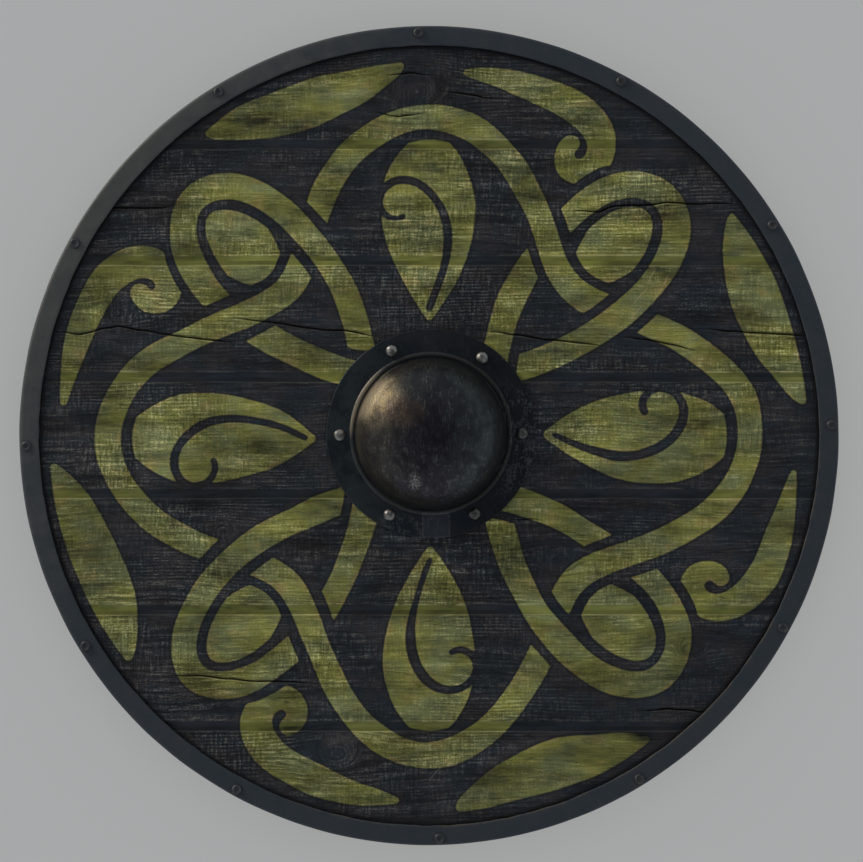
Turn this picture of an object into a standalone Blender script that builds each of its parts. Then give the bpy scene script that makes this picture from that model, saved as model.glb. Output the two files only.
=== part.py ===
"""A round wooden shield of seven boards, lying face up on the bars of its back.

X runs along the boards, Y across them, and Z up through the boss. The origin is the
middle of the plane that the shield lies on. Lengths are in metres.
"""

from math import cos, hypot, pi, radians, sin, sqrt

import bmesh
import bpy

# Whole shield
SHIELD_RADIUS = 0.410
FIT = 0.0003                  # gap between pieces that touch

# Boards
BOARD_COUNT = 7
BOARD_THICKNESS = 0.010
BOARD_JOINT = 0.0004          # open joint between two boards
CHAMFER_WIDTH = 0.0055        # front edges along each joint
CHAMFER_DEPTH = 0.0016
HOLE_LEDGE = 0.010            # wood inside the foot of the boss's dome

# Rim, a metal channel folded over the ends of the boards
RIM_WIDTH = 0.020
RIM_SHEET = 0.0022
RIM_CORNER = 0.0034           # outer bend
RIM_SIDES = 72
RIM_RIVET_COUNT = 12
RIM_RIVET_TURN = radians(1.5)
RIM_RIVET_MARGIN = 0.0024     # from a head to the rim's outer edge
RIM_HEAD_RADIUS = 0.0053
RIM_HEAD_HEIGHT = 0.0021
RIM_SHANK_RADIUS = 0.0020
RIM_TAIL_RADIUS = 0.0040
RIM_TAIL_HEIGHT = 0.0014
RIM_RIVET_SIDES = 8

# Boss, a dome beaten from one sheet, with a flange. It sits a little off the middle.
BOSS_X = 0.002
BOSS_Y = 0.002
DOME_RADIUS = 0.0765          # outside of the dome at its foot
DOME_HEIGHT = 0.050           # above the flange
BOSS_SHEET = 0.0020
BEAD_WIDTH = 0.0050           # raised ring round the foot of the dome
BEAD_HEIGHT = 0.0016
FLANGE_WIDTH = 0.0235         # from the bead to the outer edge
BOSS_SIDES = 40
CROWN_TURN = radians(86)      # where the dome's curve gives way to its flat crown

# Boss rivets, set by eye and so a few degrees off a true hexagon
BOSS_RIVET_ANGLES = [radians(a) for a in (0.0, 56.0, 115.5, 181.0, 243.0, 298.5)]
BOSS_RIVET_MARGIN = 0.0036    # from the bead to a head
BOSS_HEAD_RADIUS = 0.0062
BOSS_HEAD_HEIGHT = 0.0046
BOSS_SHANK_RADIUS = 0.0025
BOSS_TAIL_RADIUS = 0.0042
BOSS_TAIL_HEIGHT = 0.0016
BOSS_RIVET_SIDES = 8
ROVE_SIDE = 0.0140            # square washer under each rivet's tail
ROVE_THICKNESS = 0.0015

# Bars on the back: the grip across the hand hole, and a batten on each side
BAR_THICKNESS = 0.018
BAR_EDGE = 0.0020             # edges taken off
BAR_END_GAP = 0.014           # from a bar's end to the rim
GRIP_WIDTH = 0.036
HANDLE_WIDTH = 0.029
HANDLE_EDGE = 0.0055
HANDLE_HALF_LENGTH = 0.042
HANDLE_SHOULDER = 0.055       # from the handle out to the bar's full width
BATTEN_WIDTH = 0.034
BATTEN_OFFSET = 0.230
PEG_RADIUS = 0.0032
PEG_RECESS = 0.0004
PEG_COVER = 0.0030            # wood left between a peg and the painted face
PEG_MARGIN = 0.0100           # wood left beside a peg
PEG_SIDES = 8

# Heights of the layers, above the plane that the bars lie on
BOARD_BACK = BAR_THICKNESS + FIT
BOARD_FRONT = BOARD_BACK + BOARD_THICKNESS
RIM_BACK = BOARD_BACK - FIT - RIM_SHEET
RIM_FRONT = BOARD_FRONT + FIT + RIM_SHEET
FLANGE_BACK = BOARD_FRONT + FIT
FLANGE_FRONT = FLANGE_BACK + BOSS_SHEET
PEG_TOP = BOARD_FRONT - PEG_COVER

# Radii and other places that follow from the sizes above
BOARD_RADIUS = SHIELD_RADIUS - RIM_SHEET - FIT
RIM_INNER_RADIUS = SHIELD_RADIUS - RIM_WIDTH
RIM_RIVET_CIRCLE = SHIELD_RADIUS - RIM_RIVET_MARGIN - RIM_HEAD_RADIUS
HAND_HOLE_RADIUS = DOME_RADIUS - HOLE_LEDGE
BEAD_RADIUS = DOME_RADIUS + BEAD_WIDTH
FLANGE_RADIUS = BEAD_RADIUS + FLANGE_WIDTH
BOSS_RIVET_CIRCLE = BEAD_RADIUS + BOSS_RIVET_MARGIN + BOSS_HEAD_RADIUS
BAR_REACH = RIM_INNER_RADIUS - BAR_END_GAP
CUT = 0.010                   # how far a cutter runs past what it cuts


def clear_objects():
    for old in list(bpy.data.objects):
        bpy.data.objects.remove(old)


def finish_material(name, colour, roughness, metallic):
    made = bpy.data.materials.new(name)
    made.use_nodes = True
    shader = made.node_tree.nodes["Principled BSDF"]
    shader.inputs["Base Color"].default_value = (*colour, 1)
    shader.inputs["Roughness"].default_value = roughness
    shader.inputs["Metallic"].default_value = metallic
    return made


def loft(name, rings, material=None, closes=False):
    """A mesh through rings of points: with filled ends, or closing on itself as a hoop does."""
    mesh = bpy.data.meshes.new(name)
    bm = bmesh.new()
    layers = [[bm.verts.new(point) for point in ring] for ring in rings]
    following = layers[1:] + layers[:1] if closes else layers[1:]
    for here, there in zip(layers, following):
        for i in range(len(here)):
            j = (i + 1) % len(here)
            bm.faces.new((here[i], here[j], there[j], there[i]))
    if not closes:
        bm.faces.new(layers[0])
        bm.faces.new(layers[-1])
    bmesh.ops.recalc_face_normals(bm, faces=bm.faces)
    bm.to_mesh(mesh)
    bm.free()
    if material:
        mesh.materials.append(material)
    return mesh


def circle(radius, height, sides, spot=(0, 0, 0)):
    """Points round a spot (x, y, turn)."""
    x, y, turn = spot
    angles = [turn + 2 * pi * i / sides for i in range(sides)]
    return [(x + radius * cos(a), y + radius * sin(a), height) for a in angles]


def turned(name, profile, sides, material, closes=False):
    """A mesh turned about Z from (radius, height) points, smooth but for its corners."""
    mesh = loft(name, [circle(radius, z, sides) for radius, z in profile], material, closes)
    mesh.shade_smooth()
    mesh.set_sharp_from_angle(angle=radians(40))
    return mesh


def place(name, mesh, location=(0, 0, 0), turn=0.0):
    made = bpy.data.objects.new(name, mesh)
    made.location = location
    made.rotation_euler = (0, 0, turn)
    bpy.context.scene.collection.objects.link(made)
    return made


def pillars(name, spots, radius, low, high, sides):
    """A cutter made of upright pillars, one at each spot (x, y, turn)."""
    bm = bmesh.new()
    for spot in spots:
        pillar = loft(name, [circle(radius, z, sides, spot) for z in (low, high)])
        bm.from_mesh(pillar)
        bpy.data.meshes.remove(pillar)
    mesh = bpy.data.meshes.new(name)
    bm.to_mesh(mesh)
    bm.free()
    tool = place(name, mesh)
    tool.hide_render = True
    tool.display_type = "WIRE"
    return tool


def boolean(piece, tool, operation="DIFFERENCE"):
    change = piece.modifiers.new(tool.name, "BOOLEAN")
    change.operation = operation
    change.object = tool
    change.solver = "EXACT"


def rivet_spots(angles, radius, x=0.0, y=0.0):
    return [(x + radius * cos(a), y + radius * sin(a), a) for a in angles]


def board_strips():
    """(number, side, lowest y, highest y) of each board, from the top of the shield down.

    The board under the middle of the boss is in two lengths, parted by the hand hole.
    """
    pitch = 2 * BOARD_RADIUS / BOARD_COUNT
    strips = []
    for number in range(1, BOARD_COUNT + 1):
        high = BOARD_RADIUS - (number - 1) * pitch - BOARD_JOINT / 2
        low = high - pitch + BOARD_JOINT
        sides = ("_left", "_right") if low < BOSS_Y < high else ("",)
        strips += [(number, side, low, high) for side in sides]
    return strips


def board_section(number, low, high, x):
    """A board's section at x, with its front edges taken off where it meets a neighbour."""
    shoulder = BOARD_FRONT - CHAMFER_DEPTH
    if number == BOARD_COUNT:
        lower_edge = [(low - CUT, BOARD_FRONT), (low - CUT, BOARD_BACK)]
    else:
        lower_edge = [(low + CHAMFER_WIDTH, BOARD_FRONT), (low, shoulder), (low, BOARD_BACK)]
    if number == 1:
        upper_edge = [(high + CUT, BOARD_BACK), (high + CUT, BOARD_FRONT)]
    else:
        upper_edge = [(high, BOARD_BACK), (high, shoulder), (high - CHAMFER_WIDTH, BOARD_FRONT)]
    return [(x, y, z) for y, z in lower_edge + upper_edge]


def make_boards(material, holes):
    """Boards with their ends on one circle, and the hand hole through the middle."""
    below, above = BOARD_BACK - CUT, BOARD_FRONT + CUT
    disc = pillars("board_disc", [(0, 0, 0)], BOARD_RADIUS, below, above, RIM_SIDES)
    boss_spot = (BOSS_X, BOSS_Y, 0)
    hand_hole = pillars("hand_hole", [boss_spot], HAND_HOLE_RADIUS, below, above, BOSS_SIDES)
    reach = SHIELD_RADIUS + CUT
    for number, side, low, high in board_strips():
        left = BOSS_X + BOARD_JOINT / 2 if side == "_right" else -reach
        right = BOSS_X - BOARD_JOINT / 2 if side == "_left" else reach
        sections = [board_section(number, low, high, x) for x in (left, right)]
        board = place(f"board_{number}{side}", loft("board", sections, material))
        boolean(board, disc, "INTERSECT")
        for hole in (hand_hole, *holes):
            boolean(board, hole)


def make_rim(material, holes):
    """The channel's section: front leg, bent outer wall and back leg."""
    bend = RIM_CORNER * (1 - sqrt(0.5))
    outside = [
        (SHIELD_RADIUS - RIM_CORNER, RIM_FRONT),
        (SHIELD_RADIUS - bend, RIM_FRONT - bend),
        (SHIELD_RADIUS, RIM_FRONT - RIM_CORNER),
        (SHIELD_RADIUS, RIM_BACK + RIM_CORNER),
        (SHIELD_RADIUS - RIM_CORNER, RIM_BACK),
    ]
    inside = [
        (RIM_INNER_RADIUS, RIM_BACK),
        (RIM_INNER_RADIUS, RIM_BACK + RIM_SHEET),
        (SHIELD_RADIUS - RIM_SHEET, RIM_BACK + RIM_SHEET),
        (SHIELD_RADIUS - RIM_SHEET, RIM_FRONT - RIM_SHEET),
        (RIM_INNER_RADIUS, RIM_FRONT - RIM_SHEET),
        (RIM_INNER_RADIUS, RIM_FRONT),
    ]
    rim = place("rim", turned("rim", outside + inside, RIM_SIDES, material, closes=True))
    boolean(rim, holes)


def dome_profile(radius, height, base, steps):
    """Quarter of an ellipse, from the crown down to the foot."""
    turns = [CROWN_TURN * (1 - i / steps) for i in range(steps + 1)]
    return [(radius * cos(turn), base + height * sin(turn)) for turn in turns]


def make_boss(material, holes):
    bead_top = FLANGE_FRONT + BEAD_HEIGHT
    outside = dome_profile(DOME_RADIUS, DOME_HEIGHT, FLANGE_FRONT, 8)
    outside += [
        (DOME_RADIUS + BEAD_WIDTH / 3, bead_top),
        (BEAD_RADIUS - BEAD_WIDTH / 3, bead_top),
        (BEAD_RADIUS, FLANGE_FRONT),
        (FLANGE_RADIUS, FLANGE_FRONT),
        (FLANGE_RADIUS, FLANGE_BACK),
    ]
    inside = dome_profile(DOME_RADIUS - BOSS_SHEET, DOME_HEIGHT, FLANGE_BACK, 5)
    mesh = turned("boss", outside + inside[::-1], BOSS_SIDES, material)
    boss = place("boss", mesh, (BOSS_X, BOSS_Y, 0))
    boolean(boss, holes)


def rivet_profile(crown, head_radius, shank_radius, length, tail_radius, tail_height):
    """(radius, height) points from the head's crown at the front to the peened tail behind."""
    tail_end = 0.55 * tail_radius
    return [
        *crown,
        (head_radius, 0),
        (shank_radius, 0),
        (shank_radius, -length),
        (tail_radius, -length),
        (tail_end, -length - tail_height),
    ]


def make_rim_rivets(material, spots):
    """Low heads with a shallow dish in the middle."""
    crown = [
        (0.28 * RIM_HEAD_RADIUS, 0.70 * RIM_HEAD_HEIGHT),
        (0.66 * RIM_HEAD_RADIUS, RIM_HEAD_HEIGHT),
    ]
    length = RIM_FRONT - RIM_BACK + 2 * FIT
    tail = (RIM_TAIL_RADIUS, RIM_TAIL_HEIGHT)
    profile = rivet_profile(crown, RIM_HEAD_RADIUS, RIM_SHANK_RADIUS, length, *tail)
    mesh = turned("rim_rivet", profile, RIM_RIVET_SIDES, material)
    for number, (x, y, turn) in enumerate(spots, 1):
        place(f"rim_rivet_{number}", mesh, (x, y, RIM_FRONT + FIT), turn)


def make_boss_rivets(material, spots):
    """Round heads, each clenched behind the boards over a square rove."""
    crown = [
        (BOSS_HEAD_RADIUS * cos(turn), BOSS_HEAD_HEIGHT * sin(turn))
        for turn in map(radians, (78, 52, 27))
    ]
    length = FLANGE_FRONT - BOARD_BACK + ROVE_THICKNESS + 3 * FIT
    tail = (BOSS_TAIL_RADIUS, BOSS_TAIL_HEIGHT)
    profile = rivet_profile(crown, BOSS_HEAD_RADIUS, BOSS_SHANK_RADIUS, length, *tail)
    rivet = turned("boss_rivet", profile, BOSS_RIVET_SIDES, material)
    rove = rove_mesh(material)
    for number, (x, y, turn) in enumerate(spots, 1):
        place(f"boss_rivet_{number}", rivet, (x, y, FLANGE_FRONT + FIT), turn)
        place(f"rove_{number}", rove, (x, y, BOARD_BACK - FIT), turn)


def rove_mesh(material):
    """A square plate with a round hole, its top face at height 0."""
    half = ROVE_SIDE / 2
    turns = [pi / 4 * i for i in range(8)]
    edge = [(half * hypot(1, i % 2), turn) for i, turn in enumerate(turns)]
    hole = [(BOSS_SHANK_RADIUS + FIT, turn) for turn in turns]
    section = [(edge, 0), (edge, -ROVE_THICKNESS), (hole, -ROVE_THICKNESS), (hole, 0)]
    rings = [[(r * cos(turn), r * sin(turn), z) for r, turn in ring] for ring, z in section]
    return loft("rove", rings, material, closes=True)


def bar_ring(y, width, edge):
    """A bar's section at y, lying on height 0, eight-sided because its edges are taken off."""
    half = width / 2
    right = [
        (half - edge, 0),
        (half, edge),
        (half, BAR_THICKNESS - edge),
        (half - edge, BAR_THICKNESS),
    ]
    left = [(-x, z) for x, z in reversed(right)]
    return [(x, y, z) for x, z in right + left]


def bar_reach(offset, width):
    """How far a bar runs from the middle line, its corners ending short of the rim."""
    return sqrt(BAR_REACH ** 2 - (abs(offset) + width / 2) ** 2)


def grip_sections():
    """(y, width, edge): the bar is drawn in to a rounded handle across the hand hole."""
    handle_end = HANDLE_HALF_LENGTH
    upper = [
        (handle_end, HANDLE_WIDTH, HANDLE_EDGE),
        (handle_end + HANDLE_SHOULDER, GRIP_WIDTH, BAR_EDGE),
        (bar_reach(0, GRIP_WIDTH), GRIP_WIDTH, BAR_EDGE),
    ]
    return [(-y, width, edge) for y, width, edge in reversed(upper)] + upper


def batten_sections():
    reach = bar_reach(BATTEN_OFFSET, BATTEN_WIDTH)
    return [(y, BATTEN_WIDTH, BAR_EDGE) for y in (-reach, reach)]


def peg_spots(offset, width):
    """{board number: (x, y, turn)} of the pegs, one in each board that a bar crosses."""
    reach = bar_reach(offset, width)
    spots = {}
    for number, _, low, high in board_strips():
        bottom, top = max(low, -reach), min(high, reach)
        middle = (bottom + top) / 2
        room = min(top - middle, hypot(offset - BOSS_X, middle - BOSS_Y) - HAND_HOLE_RADIUS)
        if room > PEG_RADIUS + PEG_MARGIN:
            spots[number] = (offset, middle, 0)
    return spots


def make_bars(material):
    """The three bars, and the pegs that hold the boards to them. Returns the pegs' cutter."""
    bars = {
        "grip": (0, GRIP_WIDTH, grip_sections()),
        "batten_left": (-BATTEN_OFFSET, BATTEN_WIDTH, batten_sections()),
        "batten_right": (BATTEN_OFFSET, BATTEN_WIDTH, batten_sections()),
    }
    pegs = {bar: peg_spots(offset, width) for bar, (offset, width, _) in bars.items()}
    spots = [spot for places in pegs.values() for spot in places.values()]
    holes = pillars("peg_holes", spots, PEG_RADIUS + FIT, -CUT, PEG_TOP + FIT, PEG_SIDES)
    peg_ends = [(PEG_RADIUS, PEG_RECESS), (PEG_RADIUS, PEG_TOP)]
    peg = turned("peg", peg_ends, PEG_SIDES, material)
    for name, (offset, _, sections) in bars.items():
        rings = [bar_ring(*section) for section in sections]
        bar = place(name, loft(name, rings, material), (offset, 0, 0))
        boolean(bar, holes)
        for number, (x, y, _) in pegs[name].items():
            place(f"{name}_peg_{number}", peg, (x, y, 0))
    return holes


def main():
    clear_objects()
    painted_wood = finish_material("painted_wood", (0.075, 0.085, 0.035), 0.75, 0.0)
    bare_wood = finish_material("bare_wood", (0.16, 0.10, 0.055), 0.8, 0.0)
    rim_iron = finish_material("rim_iron", (0.032, 0.036, 0.042), 0.55, 0.6)
    boss_iron = finish_material("boss_iron", (0.030, 0.030, 0.028), 0.42, 0.9)
    rivet_iron = finish_material("rivet_iron", (0.22, 0.22, 0.22), 0.4, 1.0)

    step = 2 * pi / RIM_RIVET_COUNT
    rim_angles = [RIM_RIVET_TURN + step * i for i in range(RIM_RIVET_COUNT)]
    rim_spots = rivet_spots(rim_angles, RIM_RIVET_CIRCLE)
    boss_spots = rivet_spots(BOSS_RIVET_ANGLES, BOSS_RIVET_CIRCLE, BOSS_X, BOSS_Y)
    low, high = -CUT, FLANGE_FRONT + CUT
    rim_hole, boss_hole = RIM_SHANK_RADIUS + FIT, BOSS_SHANK_RADIUS + FIT
    rim_holes = pillars("rim_holes", rim_spots, rim_hole, low, high, RIM_RIVET_SIDES)
    boss_holes = pillars("boss_holes", boss_spots, boss_hole, low, high, BOSS_RIVET_SIDES)

    peg_holes = make_bars(bare_wood)
    make_boards(painted_wood, [rim_holes, boss_holes, peg_holes])
    make_rim(rim_iron, rim_holes)
    make_boss(boss_iron, boss_holes)
    make_rim_rivets(rivet_iron, rim_spots)
    make_boss_rivets(rivet_iron, boss_spots)


main()
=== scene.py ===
"""The looks of a round wooden shield that lies face up: painted boards, iron rim and boss.

X runs along the boards, Y across them and Z up through the boss. Lengths are in metres.
"""

from math import cos, pi, radians, sin, sqrt

import bmesh
import bpy
import numpy as np
from mathutils import Matrix, Vector


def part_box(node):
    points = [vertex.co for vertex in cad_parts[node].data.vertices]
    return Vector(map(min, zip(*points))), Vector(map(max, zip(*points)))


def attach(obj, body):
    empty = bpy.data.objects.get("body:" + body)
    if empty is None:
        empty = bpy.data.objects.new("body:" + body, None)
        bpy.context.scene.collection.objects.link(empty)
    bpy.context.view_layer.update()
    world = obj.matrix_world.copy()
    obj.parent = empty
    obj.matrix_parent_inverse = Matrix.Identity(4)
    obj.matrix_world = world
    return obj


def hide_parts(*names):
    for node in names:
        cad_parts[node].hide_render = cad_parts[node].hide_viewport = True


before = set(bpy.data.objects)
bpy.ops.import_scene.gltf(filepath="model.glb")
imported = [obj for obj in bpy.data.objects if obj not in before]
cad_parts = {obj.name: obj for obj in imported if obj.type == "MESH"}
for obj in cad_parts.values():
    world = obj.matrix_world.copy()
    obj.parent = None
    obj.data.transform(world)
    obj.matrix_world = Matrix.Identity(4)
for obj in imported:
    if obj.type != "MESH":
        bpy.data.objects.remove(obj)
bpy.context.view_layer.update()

# Places and heights taken from the frame
RIM_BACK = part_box("rim")[0].z
RIM_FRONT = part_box("rim")[1].z
SHIELD_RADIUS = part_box("rim")[1].x
BOARD_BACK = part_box("board_3")[0].z
BOARD_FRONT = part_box("board_3")[1].z
BOARD_RADIUS = -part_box("board_4_left")[0].x
BOSS_LOW, BOSS_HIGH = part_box("boss")
BOSS_X = (BOSS_LOW.x + BOSS_HIGH.x) / 2
BOSS_Y = (BOSS_LOW.y + BOSS_HIGH.y) / 2
FLANGE_RADIUS = (BOSS_HIGH.x - BOSS_LOW.x) / 2
FLANGE_BACK = BOSS_LOW.z
CROWN_HEIGHT = BOSS_HIGH.z
BAR_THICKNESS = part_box("grip")[1].z

# Sizes that the frame's boxes don't give
FIT = 0.0003                  # gap between pieces that touch
RIM_WIDTH = 0.020
RIM_SHEET = 0.0022
RIM_CORNER = 0.0034
BOSS_SHEET = 0.0020
DOME_RADIUS = 0.0752
BEAD_RADIUS = 0.0791
BEAD_HALF = 0.0027
BEAD_HEIGHT = 0.0016
HAND_HOLE_RADIUS = 0.0665
FLANGE_FRONT = FLANGE_BACK + BOSS_SHEET

# Mesh spacing, coarser while trying things
COARSE = 1.0
GRID_ALONG = 0.0020 * COARSE
GRID_ACROSS = 0.00082 * COARSE
BACK_STRIDE = 4               # the boards' backs have one vertex for this many of the front's

# Relief of the painted face
GROOVE_HALF = 0.0050
GROOVE_DEPTH = 0.0010
LIP_WIDTH = 0.0009
RIDGE_CELL = 0.0017           # fine ridges along the grain
RIDGE_DEPTH = 0.00042
COMB_PERIOD = 0.0034          # the evenly spaced lines that a saw left in places
SWELL_DEPTH = 0.00070
SAW_DEPTH = 0.00016
CRACK_HALF = 0.0013
CRACK_DEPTH = 0.0022
FAR = 0.050                   # stands for no crack nearby

# Knots: x, y, radius. The grain runs round them.
KNOTS = [
    (-0.311, 0.1225, 0.0110),
    (-0.093, -0.3185, 0.0150),
    (-0.012, 0.3440, 0.0170),
    (0.262, -0.2130, 0.0100),
    (-0.205, -0.0960, 0.0080),
    (0.152, 0.2580, 0.0090),
    (0.322, 0.0160, 0.0080),
    (0.128, -0.1250, 0.0120),
    (-0.158, 0.2210, 0.0070),
]

# Cracks along the grain, each through a few points
CRACKS = [
    [(-0.380, 0.2310), (-0.330, 0.2290), (-0.283, 0.2275), (-0.249, 0.2290)],
    [(-0.378, 0.1045), (-0.350, 0.1015), (-0.311, 0.1095), (-0.269, 0.1025), (-0.189, 0.0915)],
    [(-0.201, 0.1185), (-0.150, 0.1120), (-0.109, 0.1055), (-0.080, 0.1040), (-0.046, 0.0985)],
    [(-0.264, -0.2405), (-0.226, -0.2405), (-0.177, -0.2455), (-0.111, -0.2475)],
    [(0.053, 0.1035), (0.070, 0.1035), (0.116, 0.0965), (0.179, 0.0890)],
    [(0.184, 0.0985), (0.219, 0.0960), (0.273, 0.0835)],
    [(0.268, 0.1079), (0.310, 0.1035), (0.351, 0.1009), (0.386, 0.0995)],
    [(0.138, 0.2245), (0.170, 0.2235), (0.180, 0.2285), (0.240, 0.2325), (0.313, 0.2315)],
    [(0.008, 0.3445), (0.030, 0.3420), (0.052, 0.3385), (0.078, 0.3360)],
    [(-0.049, 0.3605), (-0.020, 0.3630), (0.011, 0.3600)],
    [(0.076, -0.0845), (0.098, -0.0835), (0.118, -0.0850)],
    [(-0.372, -0.2530), (-0.340, -0.2515), (-0.300, -0.2545)],
    [(-0.060, 0.3250), (-0.030, 0.3185), (0.000, 0.3230)],
    [(0.205, -0.2760), (0.240, -0.2735), (0.290, -0.2780)],
]

# Scratches across the grain, each from one place to another
SCRATCHES = [
    (0.240, 0.161, 0.222, 0.128),
    (0.226, 0.166, 0.218, 0.150),
    (0.220, 0.148, 0.203, 0.131),
    (0.213, 0.131, 0.201, 0.116),
    (0.023, -0.317, 0.000, -0.346),
]

# The painted design
CELL = 0.0015                 # spacing of the design's grid
PAINT_REACH = 0.396
BAND_HALF = 0.0130
GAP = 0.0105                  # dark line between two painted shapes
STROKE_STEP = 0.004
OUTSIDE = -0.050
FOLDS = 4


def noise(x, y, cell_x, cell_y, seed):
    """Smooth noise from -1 to 1 with a cell length along each axis."""
    table = np.random.default_rng(seed).uniform(-1, 1, (256, 256))
    u = x / cell_x + 400.3
    v = y / cell_y + 400.7
    i = np.floor(u).astype(int)
    j = np.floor(v).astype(int)
    s = u - i
    t = v - j
    s = s * s * (3 - 2 * s)
    t = t * t * (3 - 2 * t)
    i0, i1 = i % 256, (i + 1) % 256
    j0, j1 = j % 256, (j + 1) % 256
    near = table[i0, j0] * (1 - s) + table[i1, j0] * s
    far = table[i0, j1] * (1 - s) + table[i1, j1] * s
    return near * (1 - t) + far * t


def smooth(value, low, high):
    """0 below low, 1 above high, and an S curve between them."""
    t = np.clip((value - low) / (high - low), 0, 1)
    return t * t * (3 - 2 * t)


# The design: bands and fields are centre-lines of complex numbers with a half width


def stroke(points, width, closed=False):
    """An even centre-line; width is a half width or a function of 0 to 1 along it."""
    line = np.append(points, points[:1]) if closed else points
    along = np.concatenate([[0.0], np.cumsum(np.abs(np.diff(line)))])
    count = max(int(round(along[-1] / STROKE_STEP)), 8)
    marks = np.linspace(0.0, along[-1], count + 1)
    line = np.interp(marks, along, line.real) + 1j * np.interp(marks, along, line.imag)
    share = np.linspace(0.0, 1.0, len(line))
    half = width(share) if callable(width) else np.full(len(line), float(width))
    return {"line": line, "half": half, "closed": closed}


def crossings(bands):
    """(band, place along it, other band, place along that) wherever two centre-lines cross."""
    found = []
    for i, first in enumerate(bands):
        for j in range(i, len(bands)):
            second = bands[j]
            p = first["line"][:-1, None]
            r = np.diff(first["line"])[:, None]
            q = second["line"][None, :-1]
            s = np.diff(second["line"])[None, :]
            cross = (r.conj() * s).imag
            cross = np.where(np.abs(cross) < 1e-15, np.nan, cross)
            t = ((q - p).conj() * s).imag / cross
            u = ((q - p).conj() * r).imag / cross
            hits = np.nonzero((t >= 0) & (t < 1) & (u >= 0) & (u < 1))
            for m, n in zip(*hits):
                joined = first["closed"] and m + len(first["line"]) - 1 - n < 3
                if i == j and (n - m < 3 or joined):
                    continue
                found.append((i, m + t[m, n], j, n + u[m, n]))
    return found


def weave(bands):
    """Each band's passes (place, is over, other band, other place), over and under in turn."""
    found = crossings(bands)
    passes = [[] for _ in bands]
    for k, (i, m, j, n) in enumerate(found):
        passes[i].append((m, k, 0))
        passes[j].append((n, k, 1))
    links = [[] for _ in found]
    for band, row in zip(bands, passes):
        row.sort()
        pairs = list(zip(row, row[1:]))
        if band["closed"] and len(row) > 1:
            pairs.append((row[-1], row[0]))
        for (_, k, side), (_, other, other_side) in pairs:
            links[k].append((other, side != other_side))
            links[other].append((k, side != other_side))
    over = {}
    for start in range(len(found)):
        if start in over:
            continue
        over[start] = True
        todo = [start]
        while todo:
            k = todo.pop()
            for other, same in links[k]:
                if other not in over:
                    over[other] = over[k] == same
                    todo.append(other)
    result = []
    for row in passes:
        result.append([])
        for place, k, side in row:
            mate = found[k][2:] if side == 0 else found[k][:2]
            result[-1].append((place, over[k] == (side == 0), *mate))
    return result


def stretch_of(band, start, stop):
    """The centre-line and half widths between two places, also past a closed band's seam."""
    count = len(band["line"]) - 1
    places = np.concatenate([[start], np.arange(np.ceil(start), np.floor(stop) + 1), [stop]])
    places = places[np.concatenate([[True], np.diff(places) > 1e-6])]
    places = np.mod(places, count) if band["closed"] else np.clip(places, 0, count)
    grid = np.arange(count + 1)
    x = np.interp(places, grid, band["line"].real)
    y = np.interp(places, grid, band["line"].imag)
    return x + 1j * y, np.interp(places, grid, band["half"])


def depth_inside(points, line, half, open_ends):
    """How deep each point is inside a stroke. Past an end that isn't open it is outside."""
    best = np.full(points.shape, OUTSIDE)
    last = len(line) - 2
    for k, (start, way) in enumerate(zip(line, np.diff(line))):
        if way == 0:
            continue
        t = ((points - start) * way.conjugate()).real / abs(way) ** 2
        clipped = np.clip(t, 0.0, 1.0)
        away = np.abs(points - start - clipped * way)
        inside = half[k] + (half[k + 1] - half[k]) * clipped - away
        if k == 0 and not open_ends[0]:
            inside = np.where(t < -1e-3, OUTSIDE, inside)
        if k == last and not open_ends[1]:
            inside = np.where(t > 1 + 1e-3, OUTSIDE, inside)
        best = np.maximum(best, inside)
    return best


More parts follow.
